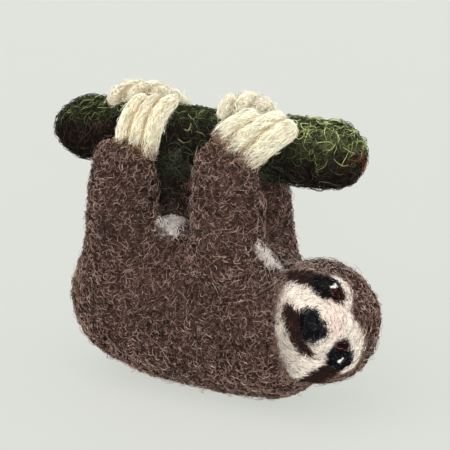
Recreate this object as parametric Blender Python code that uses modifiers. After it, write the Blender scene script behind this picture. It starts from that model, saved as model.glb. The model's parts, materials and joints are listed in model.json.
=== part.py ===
"""Needle-felted wool sloth that hangs from a short felted branch and rests on its back.

Frame: +X runs from the rump to the head, +Y to the figure's right side, +Z up.
The origin lies under the middle of the bounding box, on the surface that the back rests on.
Lengths are metres, written as millimetres times MM.
"""

import math

import bmesh
import bpy
from mathutils import Matrix, Vector

MM = 0.001
DEG = math.pi / 180

# Neighbouring pieces keep this gap.
GAP = 0.3 * MM

# Flesh: remesh size, smoothing passes at the joins, and the share of faces that is kept.
VOXEL = 1.0 * MM
BLEND_PASSES = 24
KEPT_FACES = 0.049

# Branch: a felted roll along X above the belly, a little lower at the head end. Its radius
# narrows between its two ends, and its tail end tapers and drops.
BRANCH_Z = 76.8 * MM
BRANCH_DROP = 0.8 * MM
BRANCH_RADIUS = 10.1 * MM
BRANCH_START_X = -55.5 * MM
BRANCH_END_X = 45.5 * MM
BRANCH_CAP_ANGLES = (15, 35, 55, 75)
BRANCH_STATIONS = 10
BRANCH_SIDES_SETTING = 6
BRANCH_THINNING = 0.05
BRANCH_TAPER_LENGTH = 13.0 * MM
BRANCH_TAPER_THINNING = 0.17
BRANCH_TAPER_DROP = 1.3 * MM

# Trunk: sections from the rump to the neck, (centre), (half sizes), in millimetres.
TRUNK_SECTIONS = (
    ((-27.0, 0.0, 26.0), (22.3, 22.6, 22.9)),
    ((-17.0, 0.0, 24.6), (22.6, 23.2, 24.7)),
    ((-3.0, 0.0, 23.9), (23.0, 23.4, 24.9)),
    ((10.0, 0.0, 23.1), (22.5, 23.2, 24.3)),
    ((21.0, -3.0, 21.8), (17.0, 20.3, 20.6)),
)

# Head: a ball turned to the figure's left side, tipped up, with a low muzzle on its front.
# Spots and half sizes on it run from chin to crown, from left to right cheek, and outwards.
HEAD_CENTRE = Vector((35.3, -5.2, 27.8)) * MM
HEAD_HALF_SIZES = Vector((17.4, 18.7, 17.8)) * MM
FACE_AZIMUTH = 25 * DEG
FACE_ELEVATION = 17 * DEG
CROWN_ROLL = 8.5 * DEG
MUZZLE_SPOT = Vector((-3.6, 0.0, 11.0)) * MM
MUZZLE_HALF_SIZES = Vector((9.7, 10.2, 10.2)) * MM
MUZZLE_CUT_DEPTH = 14.5 * MM
MUZZLE_CUT_RADIUS = 7.2 * MM
MUZZLE_CUT_SEGMENTS = 24
NOSE_SPOT = Vector((-3.6, 0.4, 19.6)) * MM
NOSE_HALF_SIZES = Vector((3.7, 4.6, 2.4)) * MM
EYES = {
    "eye_right": (Vector((2.2, 10.0, 13.9)) * MM, Vector((3.9, 3.4, 2.0)) * MM),
    "eye_left": (Vector((2.8, -9.6, 14.1)) * MM, Vector((3.5, 4.1, 2.0)) * MM),
}
EYE_OUTWARD_TILT = 36 * DEG

# Legs, the same on both sides: (x, distance from the midline, z), (half sizes), in millimetres.
LEG_SECTIONS = {
    "hindleg": (
        ((-26.2, 11.0, 34.0), (15.6, 11.6, 10.0)),
        ((-26.6, 12.0, 48.0), (12.4, 11.0, 8.0)),
        ((-26.4, 12.6, 62.0), (11.3, 9.7, 7.0)),
        ((-25.9, 12.3, 72.0), (10.4, 6.8, 6.6)),
    ),
    "foreleg": (
        ((8.6, 10.5, 30.0), (14.5, 11.8, 10.0)),
        ((8.4, 12.0, 46.0), (12.2, 11.4, 8.0)),
        ((8.3, 12.8, 61.0), (11.4, 9.9, 7.0)),
        ((7.6, 12.3, 73.8), (10.4, 6.6, 7.6)),
    ),
}
SECTION_STEPS = 5
RIGHT_FORELEG_LEAN = -4.0 * MM
LEG_CUT_Z = 50.0 * MM
LEG_SPACE_X = {"hindleg": (-60 * MM, -10 * MM), "foreleg": (-10 * MM, 30 * MM)}
HEAD_CUT_RADIUS = 21.0 * MM

# Claws: thick strands side by side round the branch. Each has (x, angle) at the paw, (x, angle)
# at the tip, its thickness and how far its middle stands off the branch: millimetres, and
# degrees about the branch from its top, positive towards the figure's left side.
CLAW_STATIONS = (0.0, 0.05, 0.18, 0.36, 0.54, 0.72, 0.87, 0.96, 1.0)
CLAW_SWELL = (0.55, 0.9, 1.0, 1.0, 1.0, 1.0, 0.95, 0.72, 0.38)
CLAW_SIDES_SETTING = 2
CLAWS = {
    "hindclaw_left": (
        ((-26.2, 100), (-23.4, 21), 3.9, 0.2),
        ((-21.7, 104), (-18.7, 19), 3.9, 0.2),
        ((-17.3, 108), (-13.9, 17), 3.9, 0.2),
    ),
    "hindclaw_right": (
        ((-22.7, -100), (-33.9, 37), 3.7, 1.9),
        ((-18.2, -100), (-28.9, 26), 3.7, 2.3),
        ((-13.7, -100), (-23.4, 1), 3.7, 1.6),
    ),
    "foreclaw_left": (
        ((5.2, 74), (15.2, 35), 4.8, 0.2),
        ((8.4, 89), (23.2, 33), 4.8, 0.2),
        ((13.8, 98), (27.2, 44), 4.8, 0.2),
    ),
    "foreclaw_right": (
        ((1.2, -100), (4.0, 38), 4.2, 0.0),
        ((5.9, -100), (8.6, 28), 4.4, 1.6),
        ((10.45, -100), (13.0, 12), 4.0, 0.6),
    ),
}

BALL_SEGMENTS = 28
BALL_RINGS = 18
NECK_SEGMENTS = 20
NECK_RINGS = 12
SMALL_SEGMENTS = 14
SMALL_RINGS = 9
CUTTER_REACH = 80 * MM
# Points of a tube's mesh that are nearer than this are one point.
WELD = 0.001 * MM

# Linear colour and roughness of each wool.
WOOLS = {
    "body": ("brown_wool", (0.085, 0.055, 0.045), 0.95),
    "face": ("face_wool", (0.63, 0.54, 0.47), 0.95),
    "claw": ("claw_wool", (0.72, 0.66, 0.47), 0.95),
    "branch": ("branch_wool", (0.045, 0.05, 0.025), 0.95),
    "black": ("black_wool", (0.009, 0.008, 0.009), 0.8),
}


def face_frame():
    """Place of the head's own frame: crown along x, right cheek along y, face along z."""
    level = math.cos(FACE_ELEVATION)
    rise = math.sin(FACE_ELEVATION)
    out = Vector((math.sin(FACE_AZIMUTH) * level, -math.cos(FACE_AZIMUTH) * level, rise))
    side = Vector((math.cos(FACE_AZIMUTH), math.sin(FACE_AZIMUTH), 0.0))
    above = out.cross(side)
    crown = side * math.cos(CROWN_ROLL) + above * math.sin(CROWN_ROLL)
    turn = Matrix((crown, out.cross(crown), out)).transposed().to_4x4()
    return Matrix.Translation(HEAD_CENTRE) @ turn


def wool(name, colour, roughness):
    """Matt felted wool of one colour."""
    material = bpy.data.materials.new(name)
    material.use_nodes = True
    shader = material.node_tree.nodes["Principled BSDF"]
    shader.inputs["Base Color"].default_value = (*colour, 1.0)
    shader.inputs["Roughness"].default_value = roughness
    shader.inputs["Metallic"].default_value = 0.0
    material.diffuse_color = (*colour, 1.0)
    return material


def collection(name):
    """New collection in the scene."""
    group = bpy.data.collections.new(name)
    bpy.context.scene.collection.children.link(group)
    return group


def mesh_object(name, bm, group, material=None):
    """Object made from a bmesh, which is freed."""
    mesh = bpy.data.meshes.new(name)
    bm.to_mesh(mesh)
    bm.free()
    obj = bpy.data.objects.new(name, mesh)
    group.objects.link(obj)
    if material:
        mesh.materials.append(material)
    return obj


def as_cutter(obj):
    """Show an object as a wire guide only."""
    obj.hide_render = True
    obj.display_type = "WIRE"
    return obj


def evaluated_copy(obj):
    """Mesh of an object with its modifiers or its bevel in place."""
    depsgraph = bpy.context.evaluated_depsgraph_get()
    return bpy.data.meshes.new_from_object(obj.evaluated_get(depsgraph))


def add_ball(bm, centre, half_sizes, frame=Matrix.Identity(4), segments=BALL_SEGMENTS, rings=BALL_RINGS):
    """Add an ellipsoid to a bmesh."""
    place = frame @ Matrix.Translation(centre) @ Matrix.Diagonal((*half_sizes, 1.0))
    bmesh.ops.create_uvsphere(bm, u_segments=segments, v_segments=rings, radius=1.0, matrix=place)


def ball(name, centre, half_sizes, frame, group, material=None, grow=0.0):
    """Small ellipsoid as an object of its own."""
    bm = bmesh.new()
    sizes = half_sizes + Vector((grow, grow, grow))
    add_ball(bm, centre, sizes, frame, SMALL_SEGMENTS, SMALL_RINGS)
    return mesh_object(name, bm, group, material)


def add_row(bm, sections, side=1, lean=0.0):
    """Add a close row of ellipsoids through sections, mirrored in Y or leaned along X."""
    base_z = sections[0][0][2] * MM
    height = sections[-1][0][2] * MM - base_z
    for (low, low_sizes), (high, high_sizes) in zip(sections, sections[1:]):
        for step in range(SECTION_STEPS + 1):
            share = step / SECTION_STEPS
            centre = Vector(low).lerp(Vector(high), share) * MM
            sizes = Vector(low_sizes).lerp(Vector(high_sizes), share) * MM
            centre.x += lean * (centre.z - base_z) / height
            centre.y *= side
            add_ball(bm, centre, sizes)


def flesh_form(group):
    """The whole figure without its claws, as one smooth closed form."""
    bm = bmesh.new()
    add_row(bm, TRUNK_SECTIONS)
    add_ball(bm, Vector(), HEAD_HALF_SIZES, face_frame())
    add_ball(bm, MUZZLE_SPOT, MUZZLE_HALF_SIZES, face_frame())
    for kind, sections in LEG_SECTIONS.items():
        add_row(bm, sections, side=-1)
        add_row(bm, sections, lean=RIGHT_FORELEG_LEAN if kind == "foreleg" else 0.0)
    form = as_cutter(mesh_object("flesh_form", bm, group))
    remesh = form.modifiers.new("one_form", "REMESH")
    remesh.mode = "VOXEL"
    remesh.voxel_size = VOXEL
    smooth = form.modifiers.new("blend", "SMOOTH")
    smooth.iterations = BLEND_PASSES
    smooth.factor = 0.5
    fewer = form.modifiers.new("fewer_faces", "DECIMATE")
    fewer.ratio = KEPT_FACES
    return form


def block(name, low, high, group):
    """Box cutter between two corners."""
    bm = bmesh.new()
    middle = (low + high) / 2
    place = Matrix.Translation(middle) @ Matrix.Diagonal((*(high - low), 1.0))
    bmesh.ops.create_cube(bm, size=1.0, matrix=place)
    return as_cutter(mesh_object(name, bm, group))


def head_space(name, group, grow):
    """Ball round the head that parts it from the trunk in the neck."""
    bm = bmesh.new()
    radius = HEAD_CUT_RADIUS + grow
    size = Vector((radius, radius, radius))
    add_ball(bm, Vector(), size, face_frame(), NECK_SEGMENTS, NECK_RINGS)
    return as_cutter(mesh_object(name, bm, group))


def muzzle_core(name, group, grow=0.0):
    """Round plug along the face direction that parts the muzzle from the head."""
    bm = bmesh.new()
    depth = CUTTER_REACH
    middle = Vector((MUZZLE_SPOT.x, MUZZLE_SPOT.y, MUZZLE_CUT_DEPTH - grow + depth / 2))
    radius = MUZZLE_CUT_RADIUS + grow
    bmesh.ops.create_cone(
        bm, cap_ends=True, segments=MUZZLE_CUT_SEGMENTS, radius1=radius, radius2=radius,
        depth=depth, matrix=face_frame() @ Matrix.Translation(middle),
    )
    return as_cutter(mesh_object(name, bm, group))


def tube(name, points, radii, bevel_setting, group, material=None):
    """Closed tube through points, as a mesh with its caps welded on."""
    curve = bpy.data.curves.new(name, "CURVE")
    curve.dimensions = "3D"
    curve.bevel_depth = 1.0
    curve.bevel_resolution = bevel_setting
    curve.use_fill_caps = True
    spline = curve.splines.new("POLY")
    spline.points.add(len(points) - 1)
    for spot, place, radius in zip(spline.points, points, radii):
        spot.co = (*place, 1.0)
        spot.radius = radius
    source = bpy.data.objects.new(name + "_curve", curve)
    group.objects.link(source)
    mesh = evaluated_copy(source)
    bpy.data.objects.remove(source)
    bm = bmesh.new()
    bm.from_mesh(mesh)
    bpy.data.meshes.remove(mesh)
    bmesh.ops.remove_doubles(bm, verts=bm.verts, dist=WELD)
    bmesh.ops.recalc_face_normals(bm, faces=bm.faces)
    return mesh_object(name, bm, group, material)


def branch(name, group, material=None, grow=0.0):
    """Felted roll with rounded ends, a little thinner in its middle and tapered at its tail end."""
    length = BRANCH_END_X - BRANCH_START_X
    cap = [
        (BRANCH_RADIUS * (1 - math.cos(angle * DEG)), math.sin(angle * DEG))
        for angle in BRANCH_CAP_ANGLES
    ]
    straight = length - 2 * BRANCH_RADIUS
    steps = [step / (BRANCH_STATIONS - 1) for step in range(BRANCH_STATIONS)]
    stations = [
        *cap,
        *((BRANCH_RADIUS + straight * step, 1.0) for step in steps),
        *((length - distance, swell) for distance, swell in reversed(cap)),
    ]
    points = []
    radii = []
    for distance, swell in stations:
        share = distance / length
        taper = max(0.0, 1 - distance / BRANCH_TAPER_LENGTH)
        thinning = 1 - BRANCH_THINNING * math.sin(math.pi * share) ** 2 - BRANCH_TAPER_THINNING * taper
        height = BRANCH_Z - BRANCH_DROP * (share - 0.5) - BRANCH_TAPER_DROP * taper
        points.append(Vector((BRANCH_START_X + distance, 0.0, height)))
        radii.append(BRANCH_RADIUS * swell * thinning + grow)
    return tube(name, points, radii, BRANCH_SIDES_SETTING, group, material)


def claw(name, shape, group, material=None, grow=0.0):
    """One claw, a thick strand bent round the branch."""
    (base_x, base_angle), (tip_x, tip_angle), thickness, stand_off = shape
    points = []
    radii = []
    for share, swell in zip(CLAW_STATIONS, CLAW_SWELL):
        angle = (base_angle + (tip_angle - base_angle) * share) * DEG
        x = (base_x + (tip_x - base_x) * share) * MM
        lift = thickness / 2 + stand_off * math.sin(math.pi * share)
        reach = BRANCH_RADIUS + GAP + lift * MM
        points.append(Vector((x, -reach * math.sin(angle), BRANCH_Z + reach * math.cos(angle))))
        radii.append(thickness / 2 * MM * swell + grow)
    return tube(name, points, radii, CLAW_SIDES_SETTING, group, material)


def combine(obj, other, operation):
    """Cut an object with another, or keep only what both share."""
    modifier = obj.modifiers.new(operation.lower() + "_" + other.name, "BOOLEAN")
    modifier.operation = operation
    modifier.solver = "EXACT"
    modifier.object = other


def flesh_node(name, form_mesh, group, material):
    """Copy of the whole form, to be cut down to one part of the body."""
    obj = bpy.data.objects.new(name, form_mesh.copy())
    group.objects.link(obj)
    obj.data.materials.clear()
    obj.data.materials.append(material)
    return obj


def make_legs(form_mesh, claw_cutters, branch_cutter, group, cutters, material):
    """Four legs, each cut off level with the belly and fitted round the branch and its claws."""
    for kind, (low_x, high_x) in LEG_SPACE_X.items():
        for side_name, side in (("left", -1), ("right", 1)):
            near = GAP / 2 * side
            far = CUTTER_REACH * side
            low = Vector((low_x, min(near, far), LEG_CUT_Z + GAP / 2))
            high = Vector((high_x, max(near, far), LEG_CUT_Z + CUTTER_REACH))
            name = f"{kind}_{side_name}"
            leg = flesh_node(name, form_mesh, group, material)
            combine(leg, block(name + "_space", low, high, cutters), "INTERSECT")
            combine(leg, branch_cutter, "DIFFERENCE")
            for cutter in claw_cutters[f"{kind[:4]}claw_{side_name}"]:
                combine(leg, cutter, "DIFFERENCE")


def make_trunk(form_mesh, group, cutters, material):
    """Trunk with the roots of the legs, lying on a small flat on its back."""
    trunk = flesh_node("trunk", form_mesh, group, material)
    reach = Vector((CUTTER_REACH, CUTTER_REACH, 0.0))
    legs_low = Vector((-CUTTER_REACH, -CUTTER_REACH, LEG_CUT_Z - GAP / 2))
    legs_high = reach + Vector((0.0, 0.0, LEG_CUT_Z + CUTTER_REACH))
    combine(trunk, block("legs_space", legs_low, legs_high, cutters), "DIFFERENCE")
    combine(trunk, head_space("head_seat", cutters, GAP), "DIFFERENCE")
    combine(trunk, muzzle_core("muzzle_clearance", cutters, GAP), "DIFFERENCE")
    rest_low = Vector((-CUTTER_REACH, -CUTTER_REACH, -CUTTER_REACH))
    combine(trunk, block("rest_level", rest_low, reach, cutters), "DIFFERENCE")


def make_head(form_mesh, group, cutters, wools):
    """Head, muzzle, nose and eyes."""
    frame = face_frame()
    head = flesh_node("head", form_mesh, group, wools["body"])
    combine(head, head_space("head_space", cutters, 0.0), "INTERSECT")
    combine(head, muzzle_core("muzzle_seat", cutters, GAP), "DIFFERENCE")
    muzzle = flesh_node("muzzle", form_mesh, group, wools["face"])
    combine(muzzle, muzzle_core("muzzle_core", cutters), "INTERSECT")
    ball("nose", NOSE_SPOT, NOSE_HALF_SIZES, frame, group, wools["black"])
    nose_seat = ball("nose_seat", NOSE_SPOT, NOSE_HALF_SIZES, frame, cutters, grow=GAP)
    combine(muzzle, as_cutter(nose_seat), "DIFFERENCE")
    for name, (spot, half_sizes) in EYES.items():
        tilt = Matrix.Rotation(math.copysign(EYE_OUTWARD_TILT, -spot.y), 4, "X")
        eye_frame = frame @ Matrix.Translation(spot) @ tilt
        ball(name, Vector(), half_sizes, eye_frame, group, wools["black"])
        seat = ball(name + "_seat", Vector(), half_sizes, eye_frame, cutters, grow=GAP)
        combine(head, as_cutter(seat), "DIFFERENCE")


def settle_on_origin(group, cutters):
    """Move everything so that the origin is under the middle of the bounding box."""
    depsgraph = bpy.context.evaluated_depsgraph_get()
    corners = []
    for obj in group.objects:
        if obj.type == "MESH":
            solid = obj.evaluated_get(depsgraph).to_mesh()
            corners.extend(obj.matrix_world @ vertex.co for vertex in solid.vertices)
    middle_x = (min(c.x for c in corners) + max(c.x for c in corners)) / 2
    middle_y = (min(c.y for c in corners) + max(c.y for c in corners)) / 2
    base = bpy.data.objects.new("sloth_origin", None)
    group.objects.link(base)
    for obj in (*group.objects, *cutters.objects):
        if obj is not base:
            obj.parent = base
    base.location = (-middle_x, -middle_y, 0.0)


def main():
    for obj in list(bpy.data.objects):
        bpy.data.objects.remove(obj)
    wools = {use: wool(*look) for use, look in WOOLS.items()}
    figure = collection("needle_felted_sloth")
    cutters = collection("cutters")

    form = flesh_form(cutters)
    form_mesh = evaluated_copy(form)

    branch("branch", figure, wools["branch"])
    branch_cutter = as_cutter(branch("branch_seat", cutters, grow=GAP))
    claw_cutters = {}
    for kind, paw in CLAWS.items():
        claw_cutters[kind] = []
        for number, shape in enumerate(paw, 1):
            name = f"{kind}_{number}"
            claw(name, shape, figure, wools["claw"])
            seat = claw(name + "_seat", shape, cutters, grow=GAP)
            claw_cutters[kind].append(as_cutter(seat))

    make_trunk(form_mesh, figure, cutters, wools["body"])
    make_legs(form_mesh, claw_cutters, branch_cutter, figure, cutters, wools["body"])
    make_head(form_mesh, figure, cutters, wools)
    settle_on_origin(figure, cutters)


main()
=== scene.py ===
"""Finish for a needle-felted wool sloth that grips a short felted branch.

Laid out as a Blender add-on and run as a script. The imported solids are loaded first, and every
piece takes its place from them. Lengths are metres, written as millimetres times MM.
"""

import json
import math

import bpy
import numpy as np
from bpy.props import FloatProperty, FloatVectorProperty, IntProperty, PointerProperty
from mathutils import Matrix, Vector, noise
from mathutils.bvhtree import BVHTree

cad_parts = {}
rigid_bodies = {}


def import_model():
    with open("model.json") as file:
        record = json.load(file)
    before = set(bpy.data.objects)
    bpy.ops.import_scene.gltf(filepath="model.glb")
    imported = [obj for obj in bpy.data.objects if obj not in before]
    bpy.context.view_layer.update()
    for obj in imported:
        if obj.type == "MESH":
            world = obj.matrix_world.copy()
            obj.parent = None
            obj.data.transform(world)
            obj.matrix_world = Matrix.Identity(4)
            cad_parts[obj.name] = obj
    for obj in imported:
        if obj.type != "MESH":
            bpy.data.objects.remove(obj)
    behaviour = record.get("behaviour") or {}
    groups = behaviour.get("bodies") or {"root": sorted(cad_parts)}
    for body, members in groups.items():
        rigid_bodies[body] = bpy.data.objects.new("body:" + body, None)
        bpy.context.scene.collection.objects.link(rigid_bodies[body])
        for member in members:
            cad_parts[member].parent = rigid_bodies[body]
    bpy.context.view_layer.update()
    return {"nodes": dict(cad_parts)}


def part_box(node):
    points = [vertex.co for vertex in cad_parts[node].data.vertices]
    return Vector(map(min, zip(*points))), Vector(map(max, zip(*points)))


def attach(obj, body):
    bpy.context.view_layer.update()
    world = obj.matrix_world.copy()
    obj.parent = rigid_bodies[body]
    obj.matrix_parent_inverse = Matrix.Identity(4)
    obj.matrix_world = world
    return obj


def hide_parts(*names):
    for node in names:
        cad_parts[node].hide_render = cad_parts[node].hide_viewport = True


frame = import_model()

bl_info = {
    "name": "Needle-felted sloth",
    "version": (1, 0, 0),
    "blender": (4, 5, 0),
    "location": "3D View > Sidebar > Sloth",
    "description": "Felts the skin, coat, face, claws and mossy branch of a wool sloth",
    "category": "Add Mesh",
}

MM = 0.001

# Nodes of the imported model.
FLESH = ("trunk", "head", "muzzle", "foreleg_left", "foreleg_right", "hindleg_left", "hindleg_right")
PAWS = ("foreclaw_left", "foreclaw_right", "hindclaw_left", "hindclaw_right")
CLAW_NODES = {paw: [f"{paw}_{number}" for number in (1, 2, 3)] for paw in PAWS}

# The face looks along this direction. Spots on it are (towards the crown, towards the right
# cheek, outwards) in millimetres from the middle of the head.
FACE_AZIMUTH = math.radians(25)
FACE_ELEVATION = math.radians(17)
CROWN_ROLL = math.radians(8.5)
NOSE_SPOT = Vector((-3.6, 0.4, 19.6)) * MM
# Its marks lie this near the head's middle, this far in front of it, and face at least so far
# outwards.
FACE_REACH = 24.5
FACE_DEPTH = 1.5
FACE_OUTWARD = -0.25

# The skin is sealed outwards, made one form, and drawn back in under the coat. The claws' roots
# are plugged, so that it is closed there.
PLUG_STOPS = np.linspace(0.0, 0.25, 5)
PLUG_MARGIN = 0.5 * MM
SEAL = 0.25 * MM
SKIN_VOXEL = 0.75 * MM
SEAL_PASSES = 26
SKIN_PASSES = 4
SKIN_LEVEL = 0.45 * MM

# Relief of the skin, in millimetres.
MOUTH_DEPTH = 1.1
LIP_RISE = 0.45
PHILTRUM_DEPTH = 0.5
BELLY_RISE = 1.9
CHEST_RISE = 0.7

# Distances from the branch's middle line: its own radius, where the coat starts, and where the
# body's wool is tinted by moss.
BRANCH_RADIUS = 10 * MM
COAT_START = 10.2 * MM
MOSS_TINT = (10.5 * MM, 16 * MM)

# Most triangles of one piece of strands, the map for the bake, how much of it one strand takes,
# and the attribute that holds the colours.
MAX_TRIANGLES = 199_000
BAKE_MAP = "OFBake"
BAKE_PATCH = 0.003
WOOL = "Wool"

# What is added to the seed for the draws of each piece. The claws' frizz and the moss's
# underwool share the draws of their longer strands.
SEEDS = {
    "underwool": 0, "body_curls": 1, "body_fuzz": 2, "face_fibres": 3, "nose_fibres": 15,
    "eye_left_fibres": 19, "eye_right_fibres": 20, "claw_strands": 31, "moss_loops": 41,
    "hanging_moss": 53,
}


def display(red, green, blue):
    """Linear colour of a display colour given as three numbers up to 255."""
    return tuple(
        value / 12.92 if value <= 0.04045 else ((value + 0.055) / 1.055) ** 2.4
        for value in (red / 255, green / 255, blue / 255)
    )


def length_setting(label, text, size):
    """Length property in metres, its default given in millimetres."""
    return FloatProperty(
        name=label, description=text, default=size * MM, min=0.0, precision=5, unit="LENGTH"
    )


def colour_setting(label, text, red, green, blue):
    """Colour property, its default given as a display colour."""
    return FloatVectorProperty(
        name=label, description=text, default=display(red, green, blue),
        subtype="COLOR", min=0.0, max=1.0,
    )


def number_setting(label, text, value, least=0.0):
    """Plain number, such as a strength or the strands on each square millimetre."""
    return FloatProperty(name=label, description=text, default=value, min=least)


def angle_setting(label, text, degrees):
    """Angle property, its default given in degrees."""
    return FloatProperty(name=label, description=text, default=math.radians(degrees), subtype="ANGLE")


class SlothBodySettings(bpy.types.PropertyGroup):
    """Brown wool of the body."""

    seed: IntProperty(name="Seed", description="Start of the random draws", default=7)
    coat_depth: length_setting("Coat depth", "Distance from the skin to the coat's tips", 0.85)
    under_length: length_setting("Underwool length", "Length of one short fibre", 2.0)
    under_width: length_setting("Underwool width", "Thickness of one short fibre", 0.27)
    under_density: number_setting("Underwool", "Short fibres on each square millimetre", 1.98)
    curl_length: length_setting("Curl length", "Length of one curl", 3.0)
    curl_width: length_setting("Curl width", "Thickness of one curl", 0.24)
    curl_density: number_setting("Curls", "Curls on each square millimetre", 0.66)
    fuzz_length: length_setting("Fuzz length", "Length of a loose fibre", 5.5)
    fuzz_width: length_setting("Fuzz width", "Thickness of a loose fibre", 0.12)
    fuzz_density: number_setting("Fuzz", "Loose fibres on each square millimetre", 0.2)
    # Painted shade: the skin under the coat is mixed towards this colour, so that the gaps between the
    # curls look shaded.
    dark: colour_setting("Underwool", "Colour between the curls", 46, 30, 26)
    mid: colour_setting("Wool", "Colour of most curls", 128, 101, 91)
    # Paler wool of the crown and of some curls, and also the colour of the highlights painted on the
    # lightest curls.
    light: colour_setting("Bleached wool", "Colour of the lightest curls", 196, 180, 168)


class SlothFaceSettings(bpy.types.PropertyGroup):
    """Cream face with its dark marks."""

    curl_length: length_setting("Fibre length", "Length of one combed fibre", 4.4)
    curl_width: length_setting("Fibre width", "Thickness of one combed fibre", 0.2)
    curl_density: number_setting("Fibres", "Fibres on each square millimetre", 6.8)
    felt_density: number_setting("Black fibres", "Black fibres on each square millimetre", 9.0)
    cream: colour_setting("Cream", "Colour of the mask", 246, 235, 223)
    blush: colour_setting("Blush", "Tint of the bridge of the nose", 243, 213, 203)
    patch: colour_setting("Patches", "Colour of the pale patches", 255, 246, 237)
    rust: colour_setting("Rust", "Colour of the fibres that edge the dark marks", 98, 50, 38)
    shade: colour_setting("Dark marks", "Colour of the mouth and the eye stripes", 38, 20, 18)
    black: colour_setting("Black", "Colour of the nose and eyes", 16, 16, 18)
    glint: colour_setting("Glint", "Colour of the white wool in the eyes", 240, 240, 238)


class SlothClawSettings(bpy.types.PropertyGroup):
    """Combed cream wool of the claws."""

    fullness: number_setting("Fullness", "Thickness of a claw over its solid", 1.12, 0.5)
    strand_length: length_setting("Strand length", "Length of one combed strand", 6.0)
    strand_width: length_setting("Strand width", "Thickness of one combed strand", 0.22)
    strand_density: number_setting("Strands", "Strands on each square millimetre", 2.5)
    light: colour_setting("Light", "Colour of the claws' crowns", 253, 249, 228)
    # Tan wool of the claws: painted into the grooves between them as shade, and frayed into the body at
    # their roots.
    warm: colour_setting("Warm", "Colour of the strands between them", 192, 164, 106)
    grey: colour_setting("Grey", "Colour of the loose tips", 176, 168, 158)


class SlothBranchSettings(bpy.types.PropertyGroup):
    """Mossy felted branch."""

    under_density: number_setting("Underwool", "Short fibres on each square millimetre", 1.1)
    curl_length: length_setting("Loop length", "Length of one loop of moss", 6.5)
    curl_width: length_setting("Loop width", "Thickness of one loop of moss", 0.22)
    curl_density: number_setting("Loops", "Loops on each square millimetre", 0.66)
    bark: colour_setting("Bark", "Dark wool of the core", 50, 34, 28)
    deep: colour_setting("Deep moss", "Dark grey-green wool", 64, 68, 52)
    moss: colour_setting("Moss", "Green wool", 100, 112, 66)
    fresh: colour_setting("Fresh moss", "Yellow-green wool on the top", 170, 180, 122)


class SlothStageSettings(bpy.types.PropertyGroup):
    """Floor, light and camera."""

    floor_colour: colour_setting("Floor", "Colour of the floor", 94, 95, 92)
    floor_glow: number_setting("Floor glow", "Light that shines through the floor", 5.0)
    fill_strength: number_setting("Fill light", "Strength of the light from all around", 0.8)
    key_strength: number_setting("Key light", "Strength of the key light", 1.75)
    key_softness: angle_setting("Softness", "Width of the key light in the sky", 70)
    side_strength: number_setting("Side light", "Strength of the light from the head's side", 1.0)
    front_strength: number_setting("Front light", "Strength of the light from the front", 1.45)
    front_softness: angle_setting("Front softness", "Width of the front light in the sky", 24)
    azimuth: angle_setting("Azimuth", "Camera's turn about the figure", 25)
    elevation: angle_setting("Elevation", "Camera's height angle", 17)
    distance: length_setting("Distance", "From the camera to its target", 420.0)
    lens: number_setting("Lens", "Focal length in millimetres", 112.0, 10.0)


def settings(group):
    """One group of the scene's settings, such as "body"."""
    return getattr(bpy.context.scene, "sloth_" + group)


def draws_for(piece):
    """Random draws of one piece, the same at each run."""
    return np.random.default_rng(settings("body").seed + SEEDS[piece])


# ---------------------------------------------------------------- places from the frame

def middle(node):
    """Middle of a node's box."""
    low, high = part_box(node)
    return (low + high) / 2


def direction(azimuth, elevation):
    """Unit vector towards an azimuth, which grows from -y towards +x, and an elevation."""
    level = math.cos(elevation)
    return Vector((math.sin(azimuth) * level, -math.cos(azimuth) * level, math.sin(elevation)))


def sideways(azimuth):
    """Level unit vector to the right of an azimuth."""
    return Vector((math.cos(azimuth), math.sin(azimuth), 0.0))


def face_frame():
    """Matrix of the head's own frame: crown along x, right cheek along y, face along z."""
    out, side = direction(FACE_AZIMUTH, FACE_ELEVATION), sideways(FACE_AZIMUTH)
    crown = side * math.cos(CROWN_ROLL) + out.cross(side) * math.sin(CROWN_ROLL)
    turn = Matrix((crown, out.cross(crown), out)).transposed()
    return Matrix.Translation(middle("nose") - turn @ NOSE_SPOT) @ turn.to_4x4()


FACE = face_frame()
FACE_TURN = np.array(FACE.to_3x3())
HEAD_MIDDLE = np.array(FACE.translation)
BRANCH_MIDDLE = middle("branch")


def on_face(spots):
    """Spots in the head's own frame, in millimetres."""
    return (spots - HEAD_MIDDLE) @ FACE_TURN / MM


def flat_on_face(spots):
    """Spots in the head's own frame without their depth, in millimetres."""
    return on_face(spots)[:, :2]


# Each paw's claws: how full they are, how far they reach along their CAD claws, how loose their
# wool is, where their bases go over to brown, how much tan wool and painted shade lie in the
# grooves between them, and how much closer to the branch than their CAD claws they lie, in millimetres.
CLAW_LOOKS = {
    "foreclaw_left": {"full": 1.12, "reach": 1.0, "loose": 0.12, "brown": 0.24, "warm": 0.45, "in": 0.0},
    "hindclaw_left": {"full": 0.96, "reach": 1.07, "loose": 0.1, "brown": 0.2, "warm": 0.7, "in": 0.0},
    "foreclaw_right": {"full": 0.93, "reach": 0.97, "loose": 0.65, "brown": 0.2, "warm": 0.5, "in": 1.5},
    "hindclaw_right": {"full": 0.98, "reach": 0.95, "loose": 0.6, "brown": 0.2, "warm": 0.6, "in": 0.9},
}
SPINE_POINTS = 24


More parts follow.
